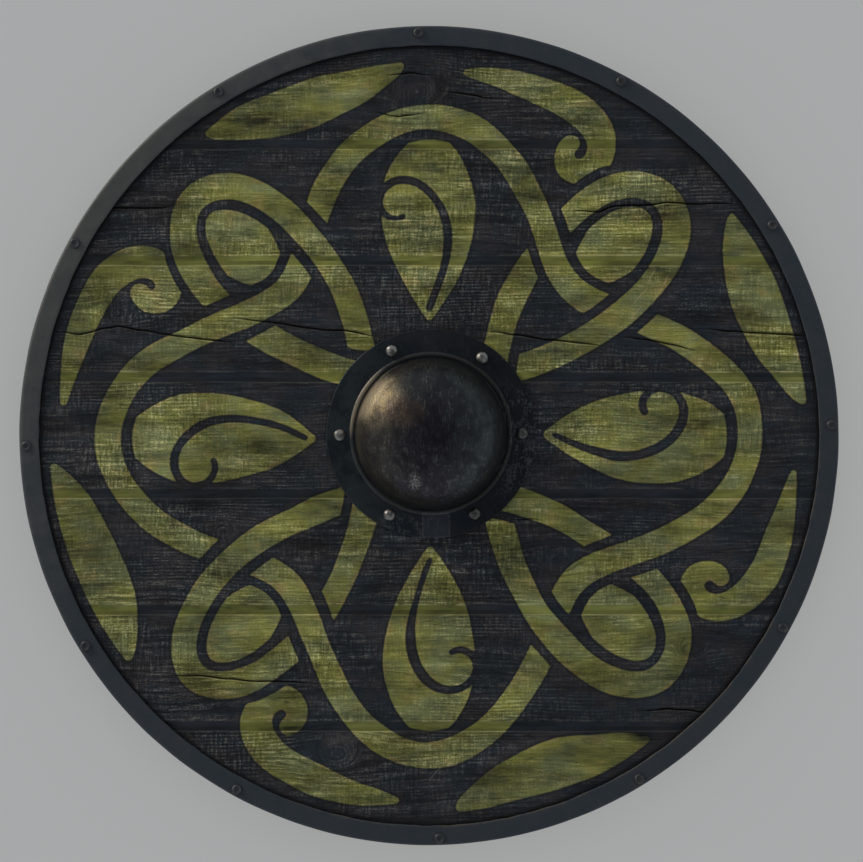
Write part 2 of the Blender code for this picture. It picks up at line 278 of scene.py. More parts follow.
class Design:
    """A grid of depths inside the painted shapes, below 0 outside them."""

    def __init__(self):
        count = int(2 * PAINT_REACH / CELL) + 1
        self.axis = np.linspace(-PAINT_REACH, PAINT_REACH, count)
        self.depth = np.full((count, count), OUTSIDE)

    def window(self, line, margin):
        """The part of the grid round a line, as slices, and its points."""
        slices = []
        for values in (line.imag, line.real):
            first = int((values.min() - margin + PAINT_REACH) / CELL)
            last = int((values.max() + margin + PAINT_REACH) / CELL) + 2
            slices.append(slice(max(first, 0), max(min(last, len(self.axis)), 1)))
        rows, columns = slices
        return (rows, columns), self.axis[columns][None, :] + 1j * self.axis[rows][:, None]

    def weave(self, bands):
        """Paints bands that pass over and under each other."""
        for band, passes in zip(bands, weave(bands)):
            places = [entry[0] for entry in passes]
            count = len(band["line"]) - 1
            before = [places[-1] - count] + places[:-1]
            after = places[1:] + [places[0] + count]
            for low, here, high, entry in zip(before, places, after, passes):
                self.weave_stretch(bands, band, (low + here) / 2, (here + high) / 2, entry)

    def weave_stretch(self, bands, band, start, stop, entry):
        line, half = stretch_of(band, start, stop)
        window, points = self.window(line, half.max() + STROKE_STEP)
        inside = depth_inside(points, line, half, (False, False))
        _, is_over, mate, place = entry
        if not is_over:
            other = bands[mate]
            span = (half.max() + other["half"].max() + GAP) * 1.6 / STROKE_STEP
            over_line, over_half = stretch_of(other, place - span, place + span)
            cover = depth_inside(points, over_line, over_half, (True, True))
            inside = np.minimum(inside, -(cover + GAP))
        self.depth[window] = np.maximum(self.depth[window], inside)

    def fill(self, strokes, gap):
        """Paints strokes behind what is there, kept a gap away from it."""
        taken = self.depth.copy()
        for one in strokes:
            window, points = self.window(one["line"], one["half"].max() + STROKE_STEP)
            inside = depth_inside(points, one["line"], one["half"], (True, True))
            inside = np.minimum(inside, -(taken[window] + gap))
            self.depth[window] = np.maximum(self.depth[window], inside)

    def carve(self, strokes):
        """Takes strokes out of what is there."""
        for one in strokes:
            window, points = self.window(one["line"], one["half"].max() + STROKE_STEP)
            cover = depth_inside(points, one["line"], one["half"], (True, True))
            self.depth[window] = np.minimum(self.depth[window], -cover)

    def at(self, x, y):
        """The depth at points of the shield, with the wander of a painter's hand."""
        wander = 0.0042
        u = x + wander * noise(x, y, 0.110, 0.110, 501) + 0.0012 * noise(x, y, 0.034, 0.034, 502)
        v = y + wander * noise(x, y, 0.110, 0.110, 503) + 0.0012 * noise(x, y, 0.034, 0.034, 504)
        last = len(self.axis) - 1.001
        column = np.clip((u + PAINT_REACH) / CELL, 0, last)
        row = np.clip((v + PAINT_REACH) / CELL, 0, last)
        i = row.astype(int)
        j = column.astype(int)
        s = row - i
        t = column - j
        low = self.depth[i, j] * (1 - t) + self.depth[i, j + 1] * t
        high = self.depth[i + 1, j] * (1 - t) + self.depth[i + 1, j + 1] * t
        return low * (1 - s) + high * s + 0.0010 * noise(x, y, 0.045, 0.045, 505)


def polar(radii, degrees):
    return radii * np.exp(1j * np.radians(degrees))


def bent(start, heading, length, bends, count=200):
    """A centre-line whose bend runs through the given values, in radians per whole length."""
    share = np.linspace(0.0, 1.0, count)
    bend = np.interp(share, np.linspace(0, 1, len(bends)), bends)
    turned = np.concatenate([[0], np.cumsum((bend[1:] + bend[:-1]) / 2)]) / (count - 1)
    steps = np.exp(1j * (heading + turned)) * length / (count - 1)
    return start + np.concatenate([[0], np.cumsum((steps[1:] + steps[:-1]) / 2)])


def swelling(half, ends, peak=0.5, power=0.8):
    """A half width that grows from its share at one end to the peak, and falls again."""

    def width(share):
        up = np.sin(pi / 2 * np.clip(share / peak, 0, 1)) ** power
        down = np.sin(pi / 2 * np.clip((1 - share) / (1 - peak), 0, 1)) ** power
        rise = ends[0] + (1 - ends[0]) * up
        fall = ends[1] + (1 - ends[1]) * down
        return half * np.where(share < peak, rise, fall)

    return width


def painted_design():
    """A four-fold knot: a band looped through a ring, with leaves and curls round it."""
    design = Design()
    turn = np.linspace(0, 2 * pi, 1440, endpoint=False)
    loops = 0.196 * np.exp(1j * turn) - 0.140 * np.exp(-3j * turn)
    ring = (0.262 + 0.058 * np.cos(4 * turn)) * np.exp(1j * turn)
    design.weave([stroke(loops, BAND_HALF, True), stroke(ring, BAND_HALF, True)])
    quarters = [np.exp(2j * pi * quarter / FOLDS) for quarter in range(FOLDS)]

    def four(line, width):
        return [stroke(line * spin, width) for spin in quarters]

    leaf = four(np.linspace(0.118, 0.294, 60) + 0j, swelling(0.045, (0.10, 0.30), 0.62, 1.0))
    drop = four(polar(np.linspace(0.215, 0.316, 40), 45), swelling(0.032, (0.15, 0.15), 0.60))
    design.fill(leaf + drop, GAP)
    curl = bent(0.125, radians(-24), 0.225, (0.5, 1.5, 4.0, 9.0, 16.0))
    design.carve(four(curl, swelling(0.0048, (0.6, 0.6))))
    angles = np.linspace(5, 36, 60)
    bulge = np.sin(pi * (angles - 5) / 31) ** 0.8
    blade = four(polar(0.374 - 0.021 * bulge, angles), swelling(0.024, (0.15, 0.12), 0.55))
    line = bent(polar(0.366, 84.5), radians(-8), 0.250, (-0.5, -0.6, -1.2, -5.0, -12.0, -19.0))
    scroll = four(line, swelling(0.0160, (0.20, 0.55)))
    design.fill(blade + scroll, GAP)
    return design


# Meshes


def grid_quads(rows, columns, first=0, wraps=False, flips=False):
    """Faces of a grid of vertices numbered row by row."""
    row_count = rows if wraps else rows - 1
    i, j = np.meshgrid(np.arange(row_count), np.arange(columns - 1), indexing="ij")
    below = (i + 1) % rows
    quads = [i * columns + j, i * columns + j + 1, below * columns + j + 1, below * columns + j]
    faces = np.stack(quads, axis=-1).reshape(-1, 4) + first
    return faces[:, ::-1] if flips else faces


def make_piece(name, vertices, faces, nodes, material, attributes=None, uvs=None):
    """A smooth mesh that stands for the CAD nodes, with float attributes at its vertices."""
    mesh = bpy.data.meshes.new(name)
    mesh.from_pydata(np.asarray(vertices), [], faces)
    for label, values in (attributes or {}).items():
        layer = mesh.attributes.new(label, "FLOAT", "POINT")
        layer.data.foreach_set("value", np.asarray(values, dtype=np.float32).ravel())
    if uvs is not None:
        corners = np.empty(len(mesh.loops), dtype=np.int32)
        mesh.loops.foreach_get("vertex_index", corners)
        layer = mesh.uv_layers.new(name="OFBake")
        layer.data.foreach_set("uv", np.asarray(uvs)[corners].astype(np.float32).ravel())
    mesh.shade_smooth()
    mesh.set_sharp_from_angle(angle=radians(50))
    mesh.materials.append(material)
    piece = bpy.data.objects.new(name, mesh)
    bpy.context.scene.collection.objects.link(piece)
    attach(piece, "root")
    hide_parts(*nodes)
    return piece


# Boards


def grain_lines(x, y, seed):
    """The coordinate across the grain, which bends round knots and wanders along the board."""
    across = y + 0.0045 * noise(x, y, 0.200, 0.090, seed)
    across = across + 0.0016 * noise(x, y, 0.060, 0.040, seed + 1)
    for knot_x, knot_y, radius in KNOTS:
        dx = (x - knot_x) / (3.2 * radius)
        dy = (y - knot_y) / (1.7 * radius)
        near = np.exp(-dx * dx - dy * dy)
        across = across - 1.1 * radius * dy * near
        away = np.sqrt(((x - knot_x) / 1.5) ** 2 + (y - knot_y) ** 2)
        core = 1 - smooth(away, 0.5 * radius, 1.25 * radius)
        across = across * (1 - core) + (knot_y + away) * core
    return across


def groove_depth(offset):
    """Depth of the groove over a joint, by how far above the joint: steep at its lower lip."""
    floor = GROOVE_DEPTH * (1 - smooth(offset, 0.2 * GROOVE_HALF, 1.1 * GROOVE_HALF))
    lip = smooth(offset, -GROOVE_HALF, -GROOVE_HALF + LIP_WIDTH)
    return np.where(offset < 0, floor * lip, floor)


def crack_distance(x, y):
    """Signed distance across the grain to the nearest crack, and how open that crack is."""
    distance = np.full(x.shape, FAR)
    opening = np.zeros(x.shape)
    for number, points in enumerate(CRACKS):
        xs = [p[0] for p in points]
        ys = [p[1] for p in points]
        jitter = 0.0009 * noise(x, y * 0, 0.012, 1.0, 300 + number)
        line = np.interp(x, xs, ys) + jitter
        inside = np.minimum(x - xs[0], xs[-1] - x)
        ends = smooth(inside, -0.002, 0.030)
        away = y - line
        width = np.where(inside < -0.002, FAR, np.abs(away))
        nearer = width < np.abs(distance)
        distance = np.where(nearer, away, distance)
        opening = np.where(nearer, ends, opening)
    return distance, opening


def scratch_distance(x, y):
    """Signed distance to the nearest scratch's line, and how strong that scratch is there."""
    distance = np.full(x.shape, FAR)
    strength = np.zeros(x.shape)
    for number, (start_x, start_y, stop_x, stop_y) in enumerate(SCRATCHES):
        start, way = start_x + 1j * start_y, stop_x - start_x + 1j * (stop_y - start_y)
        local = (x + 1j * y - start) / (way / abs(way))
        ends = smooth(np.minimum(local.real, abs(way) - local.real), -0.001, 0.004)
        away = local.imag + 0.0007 * noise(local.real, local.imag * 0, 0.006, 1.0, 400 + number)
        nearer = (ends > 0) & (np.abs(away) < np.abs(distance))
        distance = np.where(nearer, away, distance)
        strength = np.where(nearer, ends, strength)
    return distance, strength


def face_relief(x, y, joints, seed):
    """Depth below the face, and what the finish needs to know there."""
    across = grain_lines(x, y, seed)
    shifted = across + seed * 0.013
    patch = smooth(noise(x, y, 0.075, 0.040, seed + 3), -0.8, 0.5)
    drift = 0.0012 * noise(x, shifted, 0.032, 0.011, seed + 4)
    line = smooth(noise(x, shifted + drift, 0.060, RIDGE_CELL, seed + 11), -0.6, 0.6)
    dash = 0.5 + 0.5 * noise(x, shifted, 0.0085, 0.0030, seed + 5)
    ridges = line * (0.45 + 0.55 * dash)
    turn = 2 * pi * shifted / COMB_PERIOD + 2.4 * noise(x, shifted, 0.070, 0.012, seed + 12)
    comb = (0.5 + 0.5 * np.sin(turn)) * (0.70 + 0.30 * dash)
    combed = smooth(noise(x, y, 0.080, 0.028, seed + 13), -0.15, 0.35)
    ridges = ridges * (1 - combed) + comb * combed
    swell = 0.5 + 0.5 * noise(x, shifted, 0.120, 0.011, seed + 6)
    saw = 0.5 + 0.5 * noise(x, y, 0.0045, 0.030, seed + 7)
    saw_patch = smooth(noise(x, y, 0.060, 0.045, seed + 8), -0.55, 0.30)
    groove = np.zeros(x.shape)
    cut = np.zeros(x.shape)
    nearest = np.full(x.shape, FAR)
    for joint in joints:
        offset = y - joint - 0.0005 * noise(x, y * 0, 0.050, 1.0, seed + 9)
        near = smooth(offset, -GROOVE_HALF - 0.0003, -GROOVE_HALF + 0.0006)
        near = near * (1 - smooth(offset, 0.75 * GROOVE_HALF, 1.15 * GROOVE_HALF))
        groove = np.maximum(groove, near)
        cut = np.where(np.abs(offset) < 0.02, groove_depth(offset), cut)
        nearest = np.where(np.abs(offset) < 0.02, offset, nearest)
    crack, opening = crack_distance(x, y)
    scratch, scratched = scratch_distance(x, y)
    notch = np.clip(1 - np.abs(crack) / CRACK_HALF, 0, 1) * opening
    rough = 1 - groove
    depth = RIDGE_DEPTH * (0.30 + 0.70 * patch) * (1 - 0.35 * combed) * (1 - ridges) * rough
    depth = depth + SWELL_DEPTH * (1 - swell) * rough
    depth = depth + SAW_DEPTH * saw * saw_patch * rough
    depth = depth + cut + CRACK_DEPTH * notch
    return depth, {
        "grain": shifted,
        "relief": ridges,
        "swell": swell,
        "patch": patch,
        "saw": saw_patch,
        "groove": groove,
        "joint": nearest,
        "crack": crack,
        "opening": opening,
        "scratch": scratch,
        "scratched": scratched,
    }


def board_outline(side, y):
    """The board's left and right ends at y."""
    reach = np.sqrt(np.maximum(BOARD_RADIUS ** 2 - y ** 2, 0.006 ** 2))
    hole = np.sqrt(np.maximum(HAND_HOLE_RADIUS ** 2 - (y - BOSS_Y) ** 2, 0))
    left = BOSS_X + hole if side == "_right" else -reach
    right = BOSS_X - hole if side == "_left" else reach
    return left, right


def notched(x, y, low, high):
    """Moves the rows of a board that the hand hole cuts into, so that they follow its edge."""
    hole = np.sqrt(np.maximum(HAND_HOLE_RADIUS ** 2 - (x - BOSS_X) ** 2, 0))
    inside = np.abs(x - BOSS_X) < HAND_HOLE_RADIUS
    share = (y - low) / (high - low)
    up = np.where(inside & (low > 0), np.maximum(BOSS_Y + hole - low, 0), 0)
    down = np.where(inside & (high < 0), np.maximum(high - BOSS_Y + hole, 0), 0)
    return y + up * (1 - share) - down * share


def side_faces(rows, columns, stride, back_columns, back_first):
    """Faces round the edge of a board, each from several front vertices to two back ones."""
    front_ring = [(0, j) for j in range(columns)]
    front_ring += [(i, columns - 1) for i in range(1, rows)]
    front_ring += [(rows - 1, j) for j in range(columns - 2, -1, -1)]
    front_ring += [(i, 0) for i in range(rows - 2, 0, -1)]
    faces = []
    count = len(front_ring)
    for start in range(0, count, stride):
        chain = [front_ring[(start + k) % count] for k in range(stride + 1)]
        front = [i * columns + j for i, j in chain]
        ends = [chain[0], chain[-1]]
        back = [back_first + (i // stride) * back_columns + j // stride for i, j in ends]
        faces.append([*front[::-1], *back])
    return faces


def make_board(number, side, low, high, joints, design, material):
    """A board with its painted relief in front and a plainer back."""
    node = f"board_{number}{side}"
    middle = (low + high) / 2
    left, right = board_outline(side, np.array([low, middle, high]))
    columns = BACK_STRIDE * int(max(right - left) / GRID_ALONG / BACK_STRIDE) + 1
    rows = BACK_STRIDE * int((high - low) / GRID_ACROSS / BACK_STRIDE) + 1
    v = np.linspace(0, 1, rows)
    v = v - 0.2 * np.sin(2 * pi * v) / (2 * pi)
    y = (low + (high - low) * v)[:, None] * np.ones(columns)
    left, right = board_outline(side, y)
    x = left + (right - left) * np.linspace(0, 1, columns)[None, :]
    y = notched(x, y, low, high)
    seed = 20 * number + (7 if side == "_right" else 0)
    depth, facts = face_relief(x, y, joints, seed)
    front = np.stack([x, y, BOARD_FRONT - depth], axis=-1).reshape(-1, 3)

    back_x = x[::BACK_STRIDE, ::BACK_STRIDE]
    back_y = y[::BACK_STRIDE, ::BACK_STRIDE]
    back_across = grain_lines(back_x, back_y, seed + 2) + 1.7 + 0.31 * number
    wave = 0.5 + 0.5 * noise(back_x, back_across, 0.120, 0.014, seed + 10)
    back_joint = np.minimum(back_y - low, high - back_y)
    chamfer = 0.0008 * (1 - smooth(back_joint, 0.0, 0.003))
    back_z = BOARD_BACK + 0.0004 * wave + chamfer
    back = np.stack([back_x, back_y, back_z], axis=-1).reshape(-1, 3)

    back_rows, back_columns = back_x.shape
    faces = grid_quads(rows, columns).tolist()
    faces += grid_quads(back_rows, back_columns, first=rows * columns, flips=True).tolist()
    faces += side_faces(rows, columns, BACK_STRIDE, back_columns, rows * columns)

    def both(front_values, back_values):
        return np.concatenate([np.ravel(front_values), np.ravel(back_values)])

    blank = np.zeros(back_x.shape)
    attributes = {
        "along": both(x, back_x),
        "grain": both(facts["grain"], back_across),
        "paint": both(design.at(x, y), blank + OUTSIDE),
        "relief": both(facts["relief"], wave),
        "patch": both(facts["patch"], blank + 0.5),
        "saw": both(facts["saw"], blank),
        "groove": both(facts["groove"], blank),
        "joint": both(facts["joint"], back_joint),
        "swell": both(facts["swell"], blank + 0.5),
        "crack": both(facts["crack"], blank + FAR),
        "opening": both(facts["opening"], blank),
        "scratch": both(facts["scratch"], blank + FAR),
        "scratched": both(facts["scratched"], blank),
        "face": both(np.ones(x.shape), blank),
    }
    u = both(x, back_x) / (2 * BOARD_RADIUS) + 0.5
    share = both(y, back_y)
    share = (share - share.min()) / (share.max() - share.min())
    is_back = np.arange(len(share)) >= rows * columns
    uvs = np.stack([u, np.where(is_back, 0.40 * share, 0.50 + 0.49 * share)], axis=-1)
    vertices = np.concatenate([front, back])
    make_piece(node, vertices, faces, [node], material, attributes, uvs)


def make_boards(material):
    design = painted_design()
    pitch = 2 * BOARD_RADIUS / 7
    joints = [BOARD_RADIUS - pitch * k for k in range(1, 7)]
    seam = 0.00003                # half of the hairline between two painted boards
    for number in range(1, 8):
        high = BOARD_RADIUS - pitch * (number - 1) - seam
        low = high - pitch + 2 * seam
        near = [joint for joint in joints if low - 0.001 < joint < high + 0.001]
        for side in ("_left", "_right") if number == 4 else ("",):
            make_board(number, side, low, high, near, design, material)


# Turned pieces


def turned_piece(name, rings, nodes, material, attributes, uvs=None, closes=False):
    """A piece from rings of vertices, an array (ring, place round it, xyz), outside first.

    The ends are closed by a face each, unless the rings close on themselves as a hoop does.
    """
    count, around = rings.shape[:2]
    wrapped = np.concatenate([rings, rings[:1]]) if closes else rings
    faces = []
    for i in range(len(wrapped) - 1):
        here = np.arange(around) + i * around
        there = np.arange(around) + ((i + 1) % count) * around
        quads = np.stack([here, there, np.roll(there, -1), np.roll(here, -1)], axis=-1)
        faces += quads.tolist()
    if not closes:
        faces.append(list(range(around)))
        faces.append(list(range((count - 1) * around, count * around))[::-1])
    vertices = rings.reshape(-1, 3)
    return make_piece(name, vertices, faces, nodes, material, attributes, uvs)


def arc(centre, radius, start, stop, count):
    """Points (radius, height) along an arc, its angles measured from outwards, up."""
    angles = np.radians(np.linspace(start, stop, count))
    return [(centre[0] + radius * cos(a), centre[1] + radius * sin(a)) for a in angles]


def line_points(start, stop, count):
    """Points strictly between two ends."""
    shares = np.linspace(0, 1, count + 2)[1:-1]
    across, up = stop[0] - start[0], stop[1] - start[1]
    return [(start[0] + across * share, start[1] + up * share) for share in shares]


def spun(profile, around):
    """Radius, height, turn, x and y for a profile of (radius, height) taken round."""
    points = np.array(profile)
    turn = np.linspace(0, 2 * pi, around, endpoint=False)
    radius = points[:, 0][:, None] * np.ones(around)
    height = points[:, 1][:, None] * np.ones(around)
    return radius, height, turn, radius * np.cos(turn), radius * np.sin(turn)


def ring_points(centre_x, centre_y, radius, turn, height):
    """Vertices (xyz) round a centre."""
    x = centre_x + radius * np.cos(turn)
    y = centre_y + radius * np.sin(turn)
    return np.stack([x, y, height + 0 * x], axis=-1)


def make_rim(material):
    """A folded channel, softly worn at its edges, with the dents of long use."""
    inner = SHIELD_RADIUS - RIM_WIDTH
    outer = SHIELD_RADIUS
    bend = RIM_CORNER
    lip = 0.0007
    front = [*arc((inner + lip, RIM_FRONT - lip), lip, 180, 90, 4)]
    front += line_points(front[-1], (outer - bend, RIM_FRONT), 7)
    front += arc((outer - bend, RIM_FRONT - bend), bend, 90, 0, 6)
    front += arc((outer - bend, RIM_BACK + bend), bend, 0, -90, 6)
    front += line_points(front[-1], (inner + lip, RIM_BACK), 3)
    front += arc((inner + lip, RIM_BACK + lip), lip, -90, -180, 4)
    inside = [
        (inner, RIM_BACK + RIM_SHEET),
        (outer - RIM_SHEET, RIM_BACK + RIM_SHEET),
        (outer - RIM_SHEET, RIM_FRONT - RIM_SHEET),
        (inner, RIM_FRONT - RIM_SHEET),
    ]
    profile = (front + inside)[::-1]
    radius, height, turn, x, y = spun(profile, int(900 / COARSE))
    top = smooth(height, RIM_FRONT - 0.0015, RIM_FRONT - 0.0002)
    dents = 0.5 + 0.5 * noise(x, y, 0.026, 0.026, 701)
    small = 0.5 + 0.5 * noise(x, y, 0.007, 0.007, 702)
    height = height - top * (0.00030 * dents + 0.00010 * small)
    wall = smooth(radius, outer - 0.0015, outer)
    radius = radius - wall * 0.0005 * (0.5 + 0.5 * noise(x, y, 0.030, 0.030, 703))
    edge = 1 - smooth(radius, inner, inner + 0.0012)
    outer_edge = smooth(radius, outer - 0.0030, outer - 0.0010)
    ragged = noise(x, y, 0.012, 0.012, 704)
    radius = radius + edge * 0.0004 * ragged * (height > RIM_FRONT - 0.003)
    rings = ring_points(0, 0, radius, turn, height)
    attributes = {"inner_edge": edge, "outer_edge": outer_edge}
    turned_piece("rim", rings, ["rim"], material, attributes, closes=True)


def dome_points(radius, height, base, count, crown_turn):
    """Quarter of an ellipse from the crown down to the foot."""
    turns = np.linspace(radians(crown_turn), 0, count)
    return [(radius * cos(t), base + height * sin(t)) for t in turns]


def make_boss(material):
    """A beaten dome with a beaded foot and a pitted flange."""
    dome_height = CROWN_HEIGHT - FLANGE_FRONT
    outside = dome_points(DOME_RADIUS - 0.0006, dome_height, FLANGE_FRONT, 46, 89.2)
    outside[-1] = (DOME_RADIUS, FLANGE_FRONT + 0.5 * BEAD_HEIGHT)
    outside += [(BEAD_RADIUS + BEAD_HALF * cos(t), FLANGE_FRONT + BEAD_HEIGHT * sin(t))
                for t in np.radians(np.linspace(150, 0, 8))]
    outside += line_points(outside[-1], (FLANGE_RADIUS - 0.0008, FLANGE_FRONT), 20)
    outside += arc((FLANGE_RADIUS - 0.0007, FLANGE_FRONT - 0.0007), 0.0007, 90, 0, 4)
    outside += [(FLANGE_RADIUS, FLANGE_BACK)]
    inner_radius = DOME_RADIUS - BOSS_SHEET
    inside = dome_points(inner_radius, dome_height, FLANGE_BACK, 24, 88.5)[::-1]
    profile = outside + inside
    radius, height, turn, x, y = spun(profile, int(400 / COARSE))
    is_outside = (np.arange(len(profile)) < len(outside))[:, None]
    dome = (1 - smooth(radius, DOME_RADIUS - 0.006, DOME_RADIUS)) * is_outside
    flange = smooth(radius, DOME_RADIUS, DOME_RADIUS + 0.001) * is_outside
    beaten = 0.5 + 0.5 * noise(x, y, 0.018, 0.018, 801)
    small = 0.5 + 0.5 * noise(x, y, 0.0045, 0.0060, 802)
    height = height - dome * (0.00055 * beaten + 0.00012 * small)
    flaked = flaked_part(x, y)
    pits = smooth(noise(x, y, 0.0030, 0.0042, 803), 0.0, 0.5)
    top = flange * (height > FLANGE_FRONT - 0.0005)
    uneven = 0.5 + 0.5 * noise(x, y, 0.030, 0.030, 804)
    height = height - top * (0.00028 * flaked * pits + 0.00020 * uneven)
    ragged = 0.0004 + 0.0004 * noise(x, y, 0.020, 0.020, 805)
    ragged = ragged + 0.0002 * noise(x, y, 0.006, 0.006, 806)
    radius = radius - smooth(radius, FLANGE_RADIUS - 0.004, FLANGE_RADIUS) * ragged
    rings = ring_points(BOSS_X, BOSS_Y, radius, turn, height)
    from_bead = np.abs(radius - BEAD_RADIUS)
    attributes = {
        "dome": dome,
        "flange": flange,
        "bead": (1 - smooth(from_bead, 0.0008, 0.0026)) * is_outside,
        "flaked": flaked * flange,
    }
    turned_piece("boss", rings[::-1], ["boss"], material,
                 {key: value[::-1] for key, value in attributes.items()})


def flaked_part(x, y):
    """Where the flange's finish has flaked, by position from the boss's middle."""
    right = smooth(x, 0.058, 0.086) * (1 - smooth(y, 0.030, 0.060)) * smooth(y, -0.085, -0.045)
    below = smooth(-y, 0.077, 0.085) * (1 - smooth(np.abs(x + 0.020), 0.024, 0.044))
    return np.clip(right + below, 0, 1)


def make_rivet(node, profile, centre, head_height, material, seed):
    """A turned rivet, its head a little uneven."""
    radius, height, turn, x, y = spun(profile, 28)
    head = smooth(height, 0.0001, 0.3 * head_height)
    bumps = noise(x, y, 0.0030, 0.0030, seed)
    radius = radius * (1 - 0.03 * head * (1 + noise(x, y, 0.004, 0.004, seed + 1)))
    height = height - head * 0.00022 * (1 + bumps)
    rings = ring_points(centre.x, centre.y, radius, turn, centre.z + height)
    high = height / head_height
    turned_piece(node, rings[::-1], [node], material, {"high": high[::-1]})


def node_middle(node):
    low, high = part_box(node)
    return (low + high) / 2


def rivet_tail(shank_radius, length, tail_radius, tail_height):
    """The shank and the hammered end of a rivet, as points (radius, height)."""
    end = -length - tail_height
    return [
        (shank_radius, 0.0), (shank_radius, -length), (0.9 * tail_radius, -length),
        (tail_radius, -length - 0.3 * tail_height),
        (0.55 * tail_radius, end), (0.2 * tail_radius, end),
    ]


def make_rim_rivets(material):
    """Low heads with a dished middle inside a raised ring."""
    head_radius, head_height = 0.0053, 0.0021
    shares = [
        (0.10, 0.70), (0.30, 0.71), (0.46, 0.77), (0.58, 0.92),
        (0.70, 1.00), (0.82, 0.90), (0.93, 0.58), (1.00, 0.15), (0.99, 0.0),
    ]
    crown = [(share * head_radius, high * head_height) for share, high in shares]
    length = RIM_FRONT - RIM_BACK + 2 * FIT
    profile = crown + rivet_tail(0.0020, length, 0.0040, 0.0014)
    for number in range(1, 13):
        node = f"rim_rivet_{number}"
        centre = node_middle(node)
        centre.z = RIM_FRONT + FIT
        make_rivet(node, profile, centre, head_height, material, 900 + 10 * number)


def make_boss_rivets(material):
    """Round heads."""
    head_radius, head_height = 0.0062, 0.0046
    turns = np.radians([86, 74, 62, 50, 38, 27, 16, 6, 0])
    crown = [(head_radius * cos(t), head_height * sin(t)) for t in turns]
    length = FLANGE_FRONT - BOARD_BACK + 0.0015 + 3 * FIT
    profile = crown + rivet_tail(0.0025, length, 0.0042, 0.0016)
    for number in range(1, 7):
        node = f"boss_rivet_{number}"
        centre = node_middle(node)
        centre.z = FLANGE_FRONT + FIT
        make_rivet(node, profile, centre, head_height, material, 1100 + 10 * number)


def make_roves(material):
    """Square plates with a round hole, cut by hand and so a little out of true."""
    half, hole, thickness, lip = 0.0070, 0.0028, 0.0015, 0.0004
    around = 40
    turn = np.linspace(0, 2 * pi, around, endpoint=False) + pi / 4
    square = half / np.maximum(np.abs(np.cos(turn)), np.abs(np.sin(turn)))
    square = np.minimum(square, 1.30 * half)
    for number in range(1, 7):
        node = f"rove_{number}"
        middle = node_middle(node)
        spin = np.arctan2(middle.y - BOSS_Y, middle.x - BOSS_X)
        top = middle.z + thickness / 2
        uneven = noise(np.cos(turn), np.sin(turn), 0.5, 0.5, 1300 + number)
        shape = square * (1 - 0.02 * (1 + uneven))
        layers = [
            (hole, 0.0), (shape - lip, 0.0), (shape, -lip), (shape, lip - thickness),
            (shape - lip, -thickness), (hole, -thickness),
        ]
        rings = np.array([
            ring_points(middle.x, middle.y, radius, turn + spin, top + height)
            for radius, height in layers
        ])
        high = np.full(rings.shape[:2], 0.3)
        turned_piece(node, rings, [node], material, {"high": high}, closes=True)


# Bars and pegs


def bar_section(half, edge, count=5):
    """A bar's section (x, z) with rounded edges, counter-clockwise from its lower right."""
    corners = [
        (half - edge, edge, -90), (half - edge, BAR_THICKNESS - edge, 0),
        (edge - half, BAR_THICKNESS - edge, 90), (edge - half, edge, 180),
    ]
    points = []
    for x, z, start in corners:
        angles = np.radians(np.linspace(start, start + 90, count))
        points += [(x + edge * cos(a), z + edge * sin(a)) for a in angles]
    outline = []
    for here, there in zip(points, points[1:] + points[:1]):
        outline.append(here)
        gap = sqrt((there[0] - here[0]) ** 2 + (there[1] - here[1]) ** 2)
        outline += line_points(here, there, int(gap / (0.0022 * COARSE)))
    return np.array(outline)


def grip_shape(y):
    """Half width and edge radius of the grip at y: a rounded handle between broad ends."""
    share = smooth(np.abs(y), 0.042, 0.097)
    return 0.0145 + 0.0035 * share, 0.0060 - 0.0038 * share


def make_bar(node, material, shape, seed):
    """A bar with its grain along Y, its edges eased and its ends cut square."""
    low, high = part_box(node)
    middle = (low.x + high.x) / 2
    count = int((high.y - low.y) / (0.0040 * COARSE))
    places = np.linspace(low.y, high.y, count)
    template = bar_section((high.x - low.x) / 2, 0.0022)
    wide = np.max(template[:, 0])
    rings, along, grain, relief = [], [], [], []
    for y in places:
        half, edge = shape(y)
        section = bar_section_like(template, wide, half, edge)
        x, z = section[:, 0], section[:, 1]
        across = x + 0.6 * z + 0.0020 * noise(y + x * 0, z, 0.120, 0.050, seed)
        wave = 0.5 + 0.5 * noise(y + x * 0, across, 0.090, 0.0045, seed + 1)
        inward = 0.00035 * wave
        x = x * (1 - inward / half)
        z = z + inward * np.sign(BAR_THICKNESS / 2 - z) * (np.abs(z - BAR_THICKNESS / 2) > 0.006)
        rings.append(np.stack([middle + x, np.full(len(x), y), z], axis=-1))
        along.append(np.full(len(x), y))
        grain.append(across)
        relief.append(wave)
    attributes = {"along": along, "grain": np.array(grain) + seed, "relief": relief}
    rings = np.array(rings)
    bar = turned_piece(node, rings, [node], material, attributes)
    cut_peg_holes(bar, [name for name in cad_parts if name.startswith(node + "_peg_")])


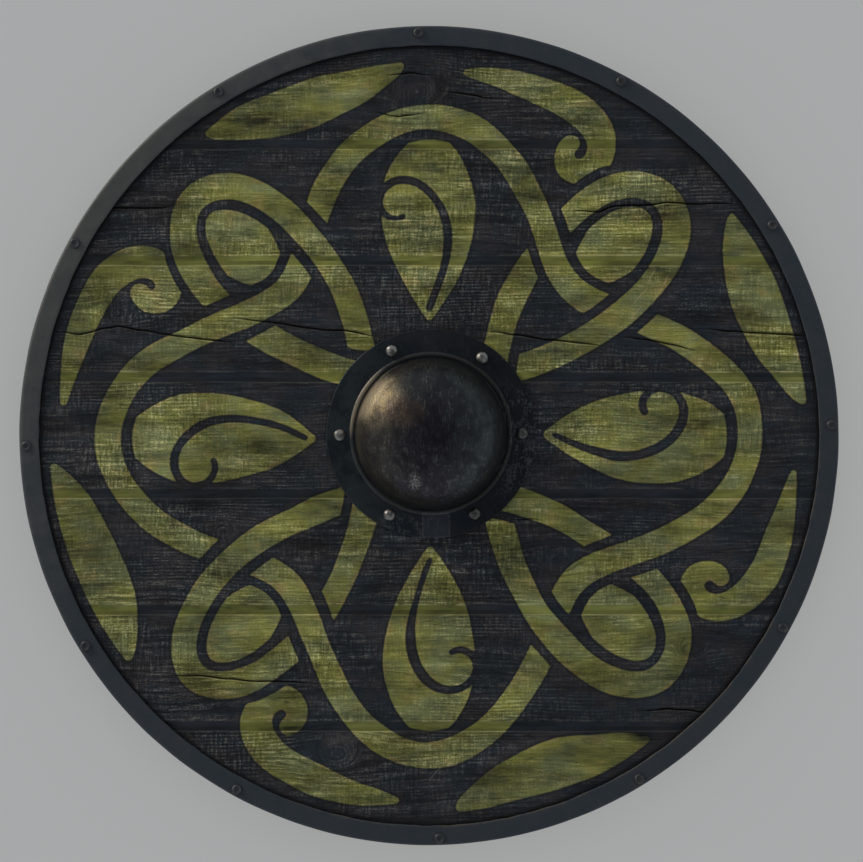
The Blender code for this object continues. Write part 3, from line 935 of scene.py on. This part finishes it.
def cut_peg_holes(bar, pegs):
    """Cuts a round hole through a bar for each of its pegs."""
    shape = bmesh.new()
    for peg in pegs:
        low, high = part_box(peg)
        middle = (low + high) / 2
        radius = (high.x - low.x) / 2 + FIT
        place = Matrix.Translation((middle.x, middle.y, BAR_THICKNESS / 2))
        bmesh.ops.create_cone(shape, cap_ends=True, segments=32, radius1=radius, radius2=radius,
                              depth=2 * BAR_THICKNESS, matrix=place)
    mesh = bpy.data.meshes.new("peg_holes")
    shape.to_mesh(mesh)
    shape.free()
    tool = bpy.data.objects.new("peg_holes", mesh)
    bpy.context.scene.collection.objects.link(tool)
    change = bar.modifiers.new("peg_holes", "BOOLEAN")
    change.object = tool
    change.solver = "EXACT"
    depsgraph = bpy.context.evaluated_depsgraph_get()
    drilled = bpy.data.meshes.new_from_object(bar.evaluated_get(depsgraph))
    bar.modifiers.clear()
    bar.data = drilled
    bpy.data.objects.remove(tool)


def bar_section_like(template, wide, half, edge):
    """The template section drawn in to a half width, with its corners rounded more."""
    x = template[:, 0] * half / wide
    z = template[:, 1].copy()
    from_side = half - np.abs(x)
    rise = np.clip(edge - from_side, 0, edge)
    drop = edge - np.sqrt(np.maximum(edge ** 2 - rise ** 2, 0))
    low = z < BAR_THICKNESS / 2
    z = np.where(low, np.maximum(z, drop), np.minimum(z, BAR_THICKNESS - drop))
    return np.stack([x, z], axis=-1)


def make_pegs(material):
    """Round pegs, their ends cut off just inside the bars' backs."""
    around = 20
    turn = np.linspace(0, 2 * pi, around, endpoint=False)
    names = [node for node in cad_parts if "_peg_" in node]
    for number, node in enumerate(sorted(names)):
        low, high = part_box(node)
        middle = node_middle(node)
        uneven = 1 + 0.02 * noise(np.cos(turn), np.sin(turn), 0.6, 0.6, 1500 + number)
        radius = (high.x - low.x) / 2 * uneven
        layers = [
            (0.3, low.z), (0.85, low.z), (0.98, low.z + 0.0004), (0.98, high.z), (0.5, high.z),
        ]
        rings = np.array([
            ring_points(middle.x, middle.y, share * radius, turn, z) for share, z in layers
        ])
        attributes = {
            "along": rings[:, :, 2],
            "grain": rings[:, :, 0] + 0.7 * rings[:, :, 1],
            "relief": np.full(rings.shape[:2], 0.4),
        }
        turned_piece(node, rings, [node], material, attributes)


# Materials

# The painted face's colours
GREEN_GREY = (0.132, 0.147, 0.064)
GREEN_YELLOW = (0.168, 0.168, 0.040)
GREEN_WORN_AND_HIGHLIGHT = (0.500, 0.470, 0.215)
GREEN_LOW = (0.045, 0.050, 0.014)
GREEN_JOINT = (0.150, 0.158, 0.034)
OCHRE = (0.235, 0.175, 0.060)
DARK_BLUE = (0.0118, 0.0175, 0.0235)
DARK_PURPLE = (0.0225, 0.0205, 0.0240)
DARK_WORN_AND_HIGHLIGHT = (0.132, 0.128, 0.118)
DARK_LOW = (0.0040, 0.0045, 0.0060)
CRACK_BLACK = (0.003, 0.003, 0.003)
CRACK_GREEN = (0.034, 0.036, 0.012)

# Where the painted face is rubbed, scratched, cracked or dirty, and where it has painted highlights and
# a painted shadow along the rim
DARK_RUBBED_AND_HIGHLIGHT = (0.066, 0.066, 0.066)
SCRATCH_GREY = (0.150, 0.140, 0.135)
SCRATCH_OCHRE = (0.420, 0.330, 0.170)
SHOULDER_BLACK = (0.010, 0.009, 0.008)
SHOULDER_GREEN = (0.040, 0.040, 0.014)
DIRT_AND_RIM_SHADOW = (0.003, 0.0035, 0.005)

# Bare wood
WOOD_BROWN = (0.085, 0.052, 0.028)
WOOD_PALE = (0.200, 0.130, 0.072)
WOOD_DARK = (0.055, 0.034, 0.020)
WOOD_GREY = (0.070, 0.058, 0.046)
WOOD_JOINT = (0.030, 0.020, 0.013)

# The rim and its rivets
RIM_BLUE = (0.0215, 0.0300, 0.0390)
RIM_GREY = (0.0285, 0.0340, 0.0405)
RIM_PAINTED_SHEEN = (0.060, 0.061, 0.060)
RIM_SPECK = (0.060, 0.060, 0.058)
RIM_RUBBED_AND_HIGHLIGHT = (0.085, 0.070, 0.052)
RIM_RIVET_DARK = (0.022, 0.027, 0.032)
RIM_RIVET_GREY = (0.032, 0.034, 0.037)
RIM_RIVET_RUBBED = (0.080, 0.080, 0.080)

# The dome of the boss and its foot
DOME_BROWN = (0.036, 0.033, 0.030)
DOME_PURPLE = (0.027, 0.025, 0.032)
DOME_GREEN = (0.030, 0.036, 0.038)
DOME_TOP = (0.024, 0.029, 0.028)
DOME_GOLDEN_AND_HIGHLIGHT = (0.063, 0.050, 0.030)
DOME_COPPER_AND_HIGHLIGHT = (0.058, 0.043, 0.034)
DOME_SCRATCHED = (0.125, 0.122, 0.112)
DOME_FLECK = (0.120, 0.120, 0.116)
DOME_DULL = (0.014, 0.014, 0.017)
DOME_CHAFED = (0.088, 0.088, 0.084)
DOME_SCRAPED = (0.200, 0.196, 0.185)
FOOT_BROWN = (0.056, 0.048, 0.036)
FOOT_GREY = (0.040, 0.043, 0.042)
FOOT_SHADED = (0.010, 0.010, 0.011)
FOOT_PAINTED_HIGHLIGHT = (0.285, 0.237, 0.165)
BEAD_PAINTED_HIGHLIGHT = (0.270, 0.228, 0.165)

# The flange of the boss and its rivets
FLANGE_DARK = (0.0105, 0.0150, 0.0205)
FLANGE_GREY = (0.0195, 0.0215, 0.0260)
FLANGE_DEEP = (0.0075, 0.0090, 0.0120)
FLANGE_FLAKED = (0.052, 0.058, 0.066)
FLANGE_CHAFED = (0.036, 0.040, 0.048)
FLANGE_SHEEN = (0.026, 0.035, 0.040)
PATCH_GREY = (0.036, 0.042, 0.052)
PATCH_BORDER = (0.066, 0.074, 0.086)
RIVET_GREY = (0.090, 0.090, 0.090)
RIVET_PALE = (0.230, 0.226, 0.215)
RIVET_FOOT = (0.050, 0.052, 0.055)


class Value:
    """A node's output, which can be added to, taken from, multiplied and divided."""

    def __init__(self, made, socket):
        self.made = made
        self.socket = socket

    def __add__(self, other):
        return self.made.math("ADD", self, other)

    def __sub__(self, other):
        return self.made.math("SUBTRACT", self, other)

    def __rsub__(self, other):
        return self.made.math("SUBTRACT", other, self)

    def __mul__(self, other):
        return self.made.math("MULTIPLY", self, other)

    def __truediv__(self, other):
        return self.made.math("DIVIDE", self, other)

    def __abs__(self):
        return self.made.math("ABSOLUTE", self)


class Finish:
    """A material being made. Each method up to bump adds a node and gives its output."""

    def __init__(self, name):
        self.material = bpy.data.materials.new(name)
        self.material.use_nodes = True
        self.tree = self.material.node_tree
        self.shader = self.tree.nodes["Principled BSDF"]

    def put(self, value, socket):
        if isinstance(value, Value):
            self.tree.links.new(value.socket, socket)
        else:
            socket.default_value = value

    def node(self, kind, inputs=None, output=0, **settings):
        made = self.tree.nodes.new("ShaderNode" + kind)
        for key, value in settings.items():
            setattr(made, key, value)
        for key, value in (inputs or {}).items():
            self.put(value, made.inputs[key])
        return Value(self, made.outputs[output])

    def attribute(self, name):
        return self.node("Attribute", output="Fac", attribute_name=name)

    def place(self):
        return self.node("TexCoord", output="Object")

    def parts(self, vector):
        x = self.node("SeparateXYZ", {0: vector})
        return [Value(self, socket) for socket in x.socket.node.outputs]

    def vector(self, x, y, z):
        return self.node("CombineXYZ", {0: x, 1: y, 2: z})

    def scaled(self, vector, scale):
        return self.node("VectorMath", {0: vector, 1: scale}, operation="MULTIPLY")

    def math(self, operation, first, second=0.0):
        return self.node("Math", {0: first, 1: second}, operation=operation)

    def root(self, value):
        return self.math("SQRT", value)

    def most(self, first, second):
        return self.math("MAXIMUM", first, second)

    def noise(self, vector, detail=2.0, rough=0.5):
        inputs = {"Vector": vector, "Scale": 1.0, "Detail": detail, "Roughness": rough}
        return self.node("TexNoise", inputs)

    def smooth(self, value, low, high):
        inputs = {"Value": value, "From Min": low, "From Max": high}
        return self.node("MapRange", inputs, interpolation_type="SMOOTHSTEP")

    def blend(self, share, first, second):
        first, second = (
            colour if isinstance(colour, Value) else (*colour, 1) for colour in (first, second)
        )
        return self.node("Mix", {0: share, 6: first, 7: second}, output=2, data_type="RGBA")

    def brightened(self, colour, factor):
        return self.node("VectorMath", {0: colour, "Scale": factor}, operation="SCALE")

    def bump(self, height, distance):
        return self.node("Bump", {"Height": height, "Distance": distance, "Strength": 1.0})

    def finish(self, colour, roughness, normal=None, metallic=None):
        values = {"Base Color": colour, "Roughness": roughness}
        values.update({"Normal": normal, "Metallic": metallic})
        for name, value in values.items():
            if value is not None:
                self.put(value, self.shader.inputs[name])
        return self.material


def wood_coordinates(made):
    """Coordinates that follow the grain: along it, across it, and height."""
    height = made.parts(made.place())[2]
    return made.vector(made.attribute("along"), made.attribute("grain"), height)


def bare_wood_colour(made, lines):
    """Unpainted wood, greyed and handled: its colour and a height for its grain."""
    broad = made.noise(made.scaled(lines, (5, 40, 20)), 3)
    fine = made.noise(made.scaled(lines, (30, 900, 300)), 3)
    stain = made.noise(made.scaled(made.place(), (14, 14, 14)), 3)
    colour = made.blend(broad, WOOD_BROWN, WOOD_PALE)
    colour = made.blend(made.smooth(fine, 0.50, 0.72), colour, WOOD_DARK)
    colour = made.blend(made.smooth(stain, 0.45, 0.75) * 0.55, colour, WOOD_GREY)
    return colour, broad * 0.6 + fine * 0.4


def bare_wood():
    made = Finish("bare_wood")
    lines = wood_coordinates(made)
    colour, height = bare_wood_colour(made, lines)
    relief = made.attribute("relief")
    colour = made.brightened(colour, relief * 0.5 + 0.75)
    rough = height * 0.3 + 0.55
    return made.finish(colour, rough, made.bump(height, 0.0007))


def painted_wood():
    """Dark boards with a green design brushed over them, both worn along the grain. Painted highlight
    lies on the grain's ridges, the lower groove lips and the cracks' lower edges; painted shade lies in
    the grain's hollows, and a painted shadow along the rim.
    """
    made = Finish("painted_wood")
    place = made.place()
    parts = made.parts(place)
    lines = wood_coordinates(made)
    relief = made.attribute("relief")
    swell = made.attribute("swell")
    groove = made.attribute("groove")
    patch = made.attribute("patch")
    saw = made.attribute("saw")
    depth = made.attribute("paint")
    joint = made.attribute("joint")
    plain = 1.0 - groove

    streak = made.noise(made.scaled(lines, (45, 330, 1)), 4, 0.6)
    stripe = made.noise(made.scaled(lines, (42, 570, 1)), 3, 0.6)
    vein = made.noise(made.scaled(lines, (7, 120, 1)), 2, 0.5)
    vein = made.smooth(abs(vein - 0.5), 0.016, 0.002)
    vein = vein * made.smooth(made.noise(made.scaled(lines, (18, 60, 1)), 2), 0.46, 0.60)
    hair = made.noise(made.scaled(lines, (130, 620, 1)), 3, 0.6)
    speck = made.noise(made.scaled(place, (500, 680, 1)), 3, 0.65)
    cloud = made.noise(made.scaled(place, (20, 27, 1)), 3, 0.55)
    warm = made.noise(made.scaled(place, (31, 44, 1)), 3, 0.55)
    tone = made.noise(made.scaled(lines, (16, 45, 1)), 4, 0.6)
    threads = made.noise(made.scaled(place, (430, 62, 1)), 2, 0.5)
    threads = (threads - 0.5) * (saw * 0.65 + 0.35)

    # the edge of the brushed paint, and the dark line drawn round it
    ragged = made.noise(made.scaled(lines, (90, 300, 1)), 2)
    edge = depth + (ragged - 0.5) * 0.0013
    painted = made.smooth(edge, -0.0008, 0.0008)
    outline = made.smooth(edge, -0.0034, -0.0014) * (1.0 - painted)
    brim = made.smooth(edge, 0.0036, 0.0014) * made.smooth(warm, 0.44, 0.62)

    # what stands up is worn pale with a painted highlight, what lies low is dark with dirt and painted
    # shade
    woven = (stripe - 0.5) * 1.6
    woven = woven + (relief - 0.38) * 0.75
    woven = woven + threads * 2.1
    woven = woven + (hair - 0.5) * 1.5
    woven = woven + (speck - 0.5) * 2.4
    woven = woven + (swell - 0.5) * 0.20
    strength = (patch * 0.65 + 0.35) * plain
    lower_right = made.smooth(parts[0] - parts[1], 0.24, 0.46)
    strength = strength * (1.0 - lower_right * 0.50)
    high = made.smooth(woven, 0.08, 0.80) * strength
    low = made.smooth(woven, 0.05, -0.70) * strength
    low = made.most(low, vein * (plain * 0.8))

    green = made.blend(made.smooth(cloud, 0.36, 0.64), GREEN_GREY, GREEN_YELLOW)
    green = made.blend(made.smooth(warm, 0.56, 0.70) * 0.55, green, OCHRE)
    green = made.blend(brim * 0.40, green, OCHRE)
    green = made.blend(high * 0.74, green, GREEN_WORN_AND_HIGHLIGHT)
    green = made.blend(low * 0.84, green, GREEN_LOW)
    green = made.blend(groove * 0.70, green, GREEN_JOINT)

    dark = made.blend(made.smooth(cloud, 0.40, 0.60), DARK_BLUE, DARK_PURPLE)
    dark = made.blend(high * 0.68, dark, DARK_WORN_AND_HIGHLIGHT)
    dark = made.blend(low * 0.90, dark, DARK_LOW)
    dark = made.blend(groove * 0.55, dark, DARK_BLUE)
    dark = made.blend(outline * 0.45, dark, DARK_LOW)

    colour = made.blend(painted, dark, green)
    shade = (streak - 0.5) * 0.8 + 1.0
    shade = (shade - 1.0) * plain + 1.0
    shade = shade + (tone - 0.5) * 2.8
    broad = made.noise(made.scaled(place, (9, 15, 1)), 2, 0.5)
    shade = shade + (broad - 0.50) * (painted * 1.9)
    colour = made.brightened(colour, shade)

    # the groove over each joint is darker low down; both lips are rubbed pale, and the lower lip also
    # has a painted highlight along its edge
    low_down = made.smooth(joint, 0.6 * GROOVE_HALF, -0.9 * GROOVE_HALF) * groove
    colour = made.brightened(colour, 1.05 - low_down * 0.29)
    rub = made.smooth(made.noise(made.scaled(place, (40, 70, 1)), 4, 0.6), 0.42, 0.66)
    upper = abs(joint - 1.10 * GROOVE_HALF)
    lower = abs(joint + 1.00 * GROOVE_HALF)
    lips = made.smooth(upper, 0.0016, 0.0002) * (rub * 0.55)
    lips = lips + made.smooth(lower, 0.0009, 0.0001) * (rub * 0.35 + 0.25)
    worn = made.blend(painted, DARK_RUBBED_AND_HIGHLIGHT, GREEN_WORN_AND_HIGHLIGHT)
    colour = made.blend(lips, colour, worn)

    # scratches through the paint
    scratch = abs(made.attribute("scratch"))
    scratch = made.smooth(scratch, 0.0010, 0.0002) * made.attribute("scratched")
    scratch = scratch * (rub * 0.35 + 0.30)
    colour = made.blend(scratch, colour, made.blend(painted, SCRATCH_GREY, SCRATCH_OCHRE))

    # cracks: a dark line between dirty shoulders, with a painted highlight along its lower edge
    crack = made.attribute("crack")
    opening = made.attribute("opening")
    uneven = made.noise(made.scaled(place, (70, 4, 1)), 3)
    wide = opening * (uneven * 0.00125) + 0.00005
    away = abs(crack) / wide
    line = made.smooth(away, 1.3, 0.5) * made.smooth(opening, 0.0, 0.25)
    shoulder = made.smooth(away, 4.5, 1.0) * (opening * 0.50)
    colour = made.blend(shoulder, colour, made.blend(painted, SHOULDER_BLACK, SHOULDER_GREEN))
    # painted highlight: a pale line just below each crack
    below = abs(crack + 0.0014)
    below = made.smooth(below, 0.0008, 0.0001) * (opening * (rub * 0.4 + 0.15))
    colour = made.blend(below, colour, worn)
    colour = made.blend(line, colour, made.blend(painted, CRACK_BLACK, CRACK_GREEN))

    # dirty towards the rim, with a painted shadow of the rim in a narrow band just inside it; also
    # darker within 90 mm of the rim in the upper half, and the green paint darker in the outer part
    # except towards the upper right
    radius = made.root(parts[0] * parts[0] + parts[1] * parts[1])
    inner = SHIELD_RADIUS - RIM_WIDTH
    rim_shadow_and_dirt = made.smooth(radius, inner - 0.014, inner) * 0.35
    # painted shadow of the rim: a narrow dark band just inside it
    rim_shadow_and_dirt = rim_shadow_and_dirt + made.smooth(radius, inner - 0.0052, inner - 0.0012) * 0.60
    upper_edge = made.smooth(radius, inner - 0.090, inner) * made.smooth(parts[1], 0.0, 0.25)
    rim_shadow_and_dirt = rim_shadow_and_dirt + upper_edge * 0.10
    dulled = made.smooth(radius, 0.27, 0.37) * made.smooth(parts[0] + parts[1], 0.28, 0.05)
    colour = made.brightened(colour, 1.0 - dulled * painted * 0.22)
    colour = made.blend(rim_shadow_and_dirt, colour, DIRT_AND_RIM_SHADOW)

    bare, bare_height = bare_wood_colour(made, lines)
    bare = made.blend(made.smooth(joint, 0.0026, 0.0002) * 0.75, bare, WOOD_JOINT)
    face = made.smooth(made.attribute("face"), 0.4, 0.6)
    colour = made.blend(face, bare, colour)

    height = hair * 0.6 + stripe * 0.8
    height = height + threads * 0.8
    height = height + speck * patch * 0.6
    height = height * plain
    height = height + painted * 0.25
    height = height - (line * 1.2 + vein * 0.5)
    height = height * face + bare_height * (1.0 - face)
    normal = made.bump(height, 0.0009)
    rough = streak * 0.25 + 0.50
    made.shader.inputs["Specular IOR Level"].default_value = 0.16
    return made.finish(colour, rough, normal)


def rim_iron():
    made = Finish("rim_iron")
    place = made.place()
    mottle = made.noise(made.scaled(place, (45, 45, 45)), 5, 0.7)
    fine = made.noise(made.scaled(place, (500, 500, 500)), 3, 0.6)
    colour = made.blend(made.smooth(mottle, 0.3, 0.7), RIM_BLUE, RIM_GREY)
    parts = made.parts(place)
    # painted sheen: the rim is painted paler on its upper left, the side towards the low light
    toward = parts[0] * (-0.848 / SHIELD_RADIUS) + parts[1] * (0.530 / SHIELD_RADIUS)
    pale = made.smooth(toward + (mottle - 0.5) * 0.6, 0.45, 1.10)
    colour = made.blend(pale * 0.95, colour, RIM_PAINTED_SHEEN)
    colour = made.blend(made.smooth(fine, 0.58, 0.75) * 0.3, colour, RIM_SPECK)
    # edges rubbed brownish, kept to the lower right: wear, and a painted highlight on the inner edge
    # where it faces the light
    worn = made.attribute("inner_edge") * 0.9 + made.attribute("outer_edge") * 0.25
    worn = worn * made.smooth(mottle, 0.38, 0.60)
    below = parts[1] * (0.8 / SHIELD_RADIUS) + parts[0] * (-0.6 / SHIELD_RADIUS)
    worn = worn * made.smooth(below, -0.35, -0.80)
    colour = made.blend(worn * 0.7, colour, RIM_RUBBED_AND_HIGHLIGHT)
    rough = mottle * 0.25 + 0.38
    made.shader.inputs["Specular IOR Level"].default_value = 0.25
    return made.finish(colour, rough, made.bump(mottle + fine * 0.3, 0.0006))


def boss_iron():
    """Bronzed iron, flaked on the flange's right and rubbed golden high on the left of the dome, with
    painted highlights there, on the dome's foot and on the bead.
    """
    made = Finish("boss_iron")
    place = made.place()
    parts = made.parts(place)
    east = parts[0] - BOSS_X
    north = parts[1] - BOSS_Y
    out = made.root(east * east + north * north)
    mottle = made.noise(made.scaled(place, (42, 38, 42)), 4, 0.62)
    streak = made.noise(made.scaled(place, (560, 110, 160)), 4, 0.68)
    speck = made.noise(made.scaled(place, (520, 400, 450)), 3, 0.6)
    blotch = made.noise(made.scaled(place, (95, 70, 90)), 3, 0.6)
    dome = made.attribute("dome")

    # brown on the left, purple-black in the middle, green-grey on the right
    across = east + (mottle - 0.5) * 0.080
    colour = made.blend(made.smooth(across, -0.046, -0.010), DOME_BROWN, DOME_PURPLE)
    colour = made.blend(made.smooth(across, 0.008, 0.040), colour, DOME_GREEN)
    colour = made.blend(made.smooth(north, 0.024, 0.050) * 0.7, colour, DOME_TOP)

    def spot(x, y, wide, high):
        """Distance from a place on the dome, in shares of a size along each axis."""
        far_x = (east - x) * (1 / wide)
        far_y = (north - y) * (1 / high)
        return made.root(far_x * far_x + far_y * far_y)

    # a golden rubbed patch placed where the highlight falls, so it is partly patina and partly painted
    # highlight
    golden = spot(-0.057, 0.034, 0.030, 0.030) - (mottle - 0.5) * 1.2
    rubbed = made.smooth(golden, 1.40, 0.30) * dome
    colour = made.blend(rubbed, colour, DOME_GOLDEN_AND_HIGHLIGHT)
    # painted highlight: a copper tint that carries the highlight on towards the dome's middle
    highlight_tail = spot(-0.028, 0.020, 0.024, 0.016) - (mottle - 0.5) * 1.2
    colour = made.blend(made.smooth(highlight_tail, 1.2, 0.2) * 0.8, colour, DOME_COPPER_AND_HIGHLIGHT)
    scratched = made.smooth(streak, 0.53, 0.70) * made.smooth(blotch, 0.36, 0.60)
    colour = made.blend(scratched * 0.55, colour, DOME_SCRATCHED)
    flecks = made.smooth(speck, 0.58, 0.70) * made.smooth(blotch, 0.44, 0.60)
    colour = made.blend(flecks * 0.40, colour, DOME_FLECK)
    dulled = made.smooth(blotch, 0.55, 0.36) * 0.50
    colour = made.blend(dulled, colour, DOME_DULL)
    chafed = made.noise(made.scaled(place, (170, 120, 150)), 4, 0.7)
    chafed = made.smooth(chafed, 0.54, 0.64) * made.smooth(north, 0.020, -0.030)
    colour = made.blend(chafed * 0.45, colour, DOME_CHAFED)
    scraped = made.smooth(spot(-0.016, -0.047, 0.008, 0.012), 1.0, 0.2) * made.smooth(speck, 0.44, 0.56)
    colour = made.blend(scraped * 0.7, colour, DOME_SCRAPED)
    foot = made.smooth(out, 0.062, 0.075)
    footing = made.blend(made.smooth(across, -0.030, 0.020), FOOT_BROWN, FOOT_GREY)
    colour = made.blend(foot * 0.60, colour, footing)
    west = north * 0.26 - east * 0.97
    shaded = made.smooth(out, 0.0660, 0.0740) * made.smooth(west, 0.068, 0.048)
    colour = made.blend(shaded * 0.78, colour, FOOT_SHADED)
    # painted highlight on the dome's foot at the upper left, towards the light
    upper_left = north * 0.50 - east * 0.866
    upper_left = upper_left / out + (mottle - 0.5) * 0.16
    foot_highlight = made.smooth(out, 0.0610, 0.0680) * made.smooth(out, 0.0765, 0.0720)
    foot_highlight = foot_highlight * made.smooth(upper_left, 0.890, 0.985)
    colour = made.blend(foot_highlight * 0.9, colour, FOOT_PAINTED_HIGHLIGHT)

    flange = made.blend(made.smooth(mottle, 0.35, 0.65), FLANGE_DARK, FLANGE_GREY)
    flange = made.blend(made.smooth(across, 0.010, 0.060) * 0.7, flange, FLANGE_DEEP)
    broken = (blotch - 0.5) * 0.9 + (streak - 0.5) * 0.7
    chips = made.smooth(speck + broken, 0.48, 0.62)
    flakes = made.attribute("flaked") * chips
    flange = made.blend(flakes * 0.82, flange, FLANGE_FLAKED)
    chafing = made.smooth(streak, 0.50, 0.68) * made.smooth(blotch, 0.42, 0.60)
    flange = made.blend(chafing * 0.40, flange, FLANGE_CHAFED)
    sheen = made.smooth(across, -0.020, -0.080) * made.smooth(mottle, 0.30, 0.56)
    flange = made.blend(sheen * 0.8, flange, FLANGE_SHEEN)
    patch_x = abs(east - 0.005)
    patch_y = abs(north + 0.0915)
    mended = made.smooth(patch_x, 0.0150, 0.0125) * made.smooth(patch_y, 0.0135, 0.0110)
    flange = made.blend(mended * 0.55, flange, PATCH_GREY)
    border = made.most(patch_x - 0.0132, patch_y - 0.0118)
    border = made.smooth(abs(border), 0.0011, 0.0002)
    border = border * made.smooth(streak, 0.36, 0.56)
    flange = made.blend(border * 0.5, flange, PATCH_BORDER)
    colour = made.blend(made.attribute("flange"), colour, flange)
    # painted highlight on the bead, strong towards the upper left and faint all round
    toward = north * 0.42 - east * 0.91
    polish_and_highlight = made.smooth(toward, 0.0685, 0.0790) * 0.90 + 0.07
    colour = made.blend(made.attribute("bead") * polish_and_highlight, colour, BEAD_PAINTED_HIGHLIGHT)
    rough = streak * 0.22 + 0.30
    height = streak * 0.4 + speck * 0.4
    height = height + mottle * 1.2
    height = height + blotch * 0.5
    metal = 0.95 - made.attribute("flange") * 0.40
    metal = metal - foot * ((1.0 - made.attribute("flange")) * 0.45)
    made.shader.inputs["Specular IOR Level"].default_value = 0.25
    return made.finish(colour, rough, made.bump(height, 0.0005), metal)


def rivet_iron():
    made = Finish("rivet_iron")
    place = made.place()
    mottle = made.noise(made.scaled(place, (260, 260, 260)), 4, 0.6)
    high = made.attribute("high")
    colour = made.blend(made.smooth(mottle, 0.35, 0.65), RIVET_GREY, RIVET_PALE)
    colour = made.blend(made.smooth(high, 0.5, 0.0), colour, RIVET_FOOT)
    # darker on the rivets to the right and lower right of the boss
    parts = made.parts(place)
    dulled = made.smooth(parts[0], 0.020, 0.040) * made.smooth(parts[1], 0.040, 0.0)
    colour = made.brightened(colour, 1.0 - dulled * 0.58)
    rough = mottle * 0.25 + 0.32
    return made.finish(colour, rough, made.bump(mottle, 0.0004), 0.9)


def rim_rivet_iron():
    """Rim rivets are painted as the rim is, and bright only where rubbed."""
    made = Finish("rim_rivet_iron")
    place = made.place()
    mottle = made.noise(made.scaled(place, (260, 260, 260)), 4, 0.6)
    high = made.attribute("high")
    colour = made.blend(made.smooth(mottle, 0.35, 0.65), RIM_RIVET_DARK, RIM_RIVET_GREY)
    rubbed = made.smooth(high, 0.80, 0.98) * made.smooth(mottle, 0.30, 0.60)
    colour = made.blend(rubbed, colour, RIM_RIVET_RUBBED)
    rough = mottle * 0.25 + 0.32
    return made.finish(colour, rough, made.bump(mottle, 0.0004), 0.5)


# Stage, light and camera

FILL_LOW = (1.12, 1.17, 1.22)        # the studio's light from the horizon
FILL_HIGH = (0.145, 0.152, 0.160)    # and from straight above


def make_floor():
    made = Finish("floor")
    grey = made.noise(made.scaled(made.place(), (2, 2, 2)), 2)
    colour = made.blend(grey, (0.200, 0.203, 0.201), (0.205, 0.208, 0.206))
    made.shader.inputs["Emission Color"].default_value = (0.282, 0.288, 0.285, 1)
    made.shader.inputs["Emission Strength"].default_value = 1.0
    material = made.finish(colour, 0.9)
    mesh = bpy.data.meshes.new("floor")
    half = 6.0
    corners = [(-half, -half, 0), (half, -half, 0), (half, half, 0), (-half, half, 0)]
    mesh.from_pydata(corners, [], [(0, 1, 2, 3)])
    mesh.materials.append(material)
    floor = bpy.data.objects.new("floor", mesh)
    bpy.context.scene.collection.objects.link(floor)
    return floor


def soft_light(name, azimuth, elevation, distance, size, energy, colour):
    """A square soft box aimed at the middle of the shield."""
    data = bpy.data.lights.new(name, "AREA")
    data.size = size
    data.energy = energy
    data.color = colour
    light = bpy.data.objects.new(name, data)
    turn, rise = radians(azimuth), radians(elevation)
    way = Vector((cos(rise) * cos(turn), cos(rise) * sin(turn), sin(rise)))
    light.location = distance * way
    light.rotation_euler = way.to_track_quat("Z", "Y").to_euler()
    bpy.context.scene.collection.objects.link(light)
    return light


def make_lights(floor):
    """One warm soft box, low at the upper left, and a fill that is brighter near the horizon.

    The soft box lights the shield alone, because the backdrop shows no shadow of it.
    """
    key = soft_light("key", 144, 11, 5.0, 1.5, 185, (1.0, 0.92, 0.78))
    lit = bpy.data.collections.new("lit_by_key")
    lit.objects.link(floor)
    lit.collection_objects[0].light_linking.link_state = "EXCLUDE"
    key.light_linking.receiver_collection = lit
    world = bpy.data.worlds.new("studio")
    world.use_nodes = True
    nodes, links = world.node_tree.nodes, world.node_tree.links
    background = nodes["Background"]
    coordinates = nodes.new("ShaderNodeTexCoord")
    parts = nodes.new("ShaderNodeSeparateXYZ")
    fade = nodes.new("ShaderNodeValToRGB")
    fade.color_ramp.elements[0].color = (*FILL_LOW, 1)
    fade.color_ramp.elements[1].color = (*FILL_HIGH, 1)
    links.new(coordinates.outputs["Generated"], parts.inputs[0])
    links.new(parts.outputs["Z"], fade.inputs[0])
    links.new(fade.outputs["Color"], background.inputs["Color"])
    background.inputs["Strength"].default_value = 1.0
    bpy.context.scene.world = world


def make_camera():
    """Straight above, so that the shield's rim and middle fall where the photograph has them."""
    frame_width, lens, sensor = 863, 100.0, 36.0
    rim_pixels = 410.5            # the rim's radius in the photograph
    middle_x, middle_y = 2.5, 4.5  # pixels from the shield's middle right and up to the frame's
    distance = frame_width * lens / sensor * SHIELD_RADIUS / rim_pixels
    data = bpy.data.cameras.new("camera")
    data.lens = lens
    data.sensor_width = sensor
    metre = rim_pixels / SHIELD_RADIUS
    camera = bpy.data.objects.new("camera", data)
    camera.location = (middle_x / metre, middle_y / metre, RIM_FRONT + distance)
    bpy.context.scene.collection.objects.link(camera)
    bpy.context.scene.camera = camera


def make_shield():
    boards = painted_wood()
    wood = bare_wood()
    rivets = rivet_iron()
    make_boards(boards)
    make_rim(rim_iron())
    make_boss(boss_iron())
    make_rim_rivets(rim_rivet_iron())
    make_boss_rivets(rivets)
    make_roves(rivets)
    make_bar("grip", wood, grip_shape, 1701)
    for number, node in enumerate(("batten_left", "batten_right")):
        make_bar(node, wood, lambda y: (0.0170, 0.0022), 1711 + 10 * number)
    make_pegs(wood)


make_shield()
make_lights(make_floor())
make_camera()
bpy.context.scene.view_settings.view_transform = "Standard"
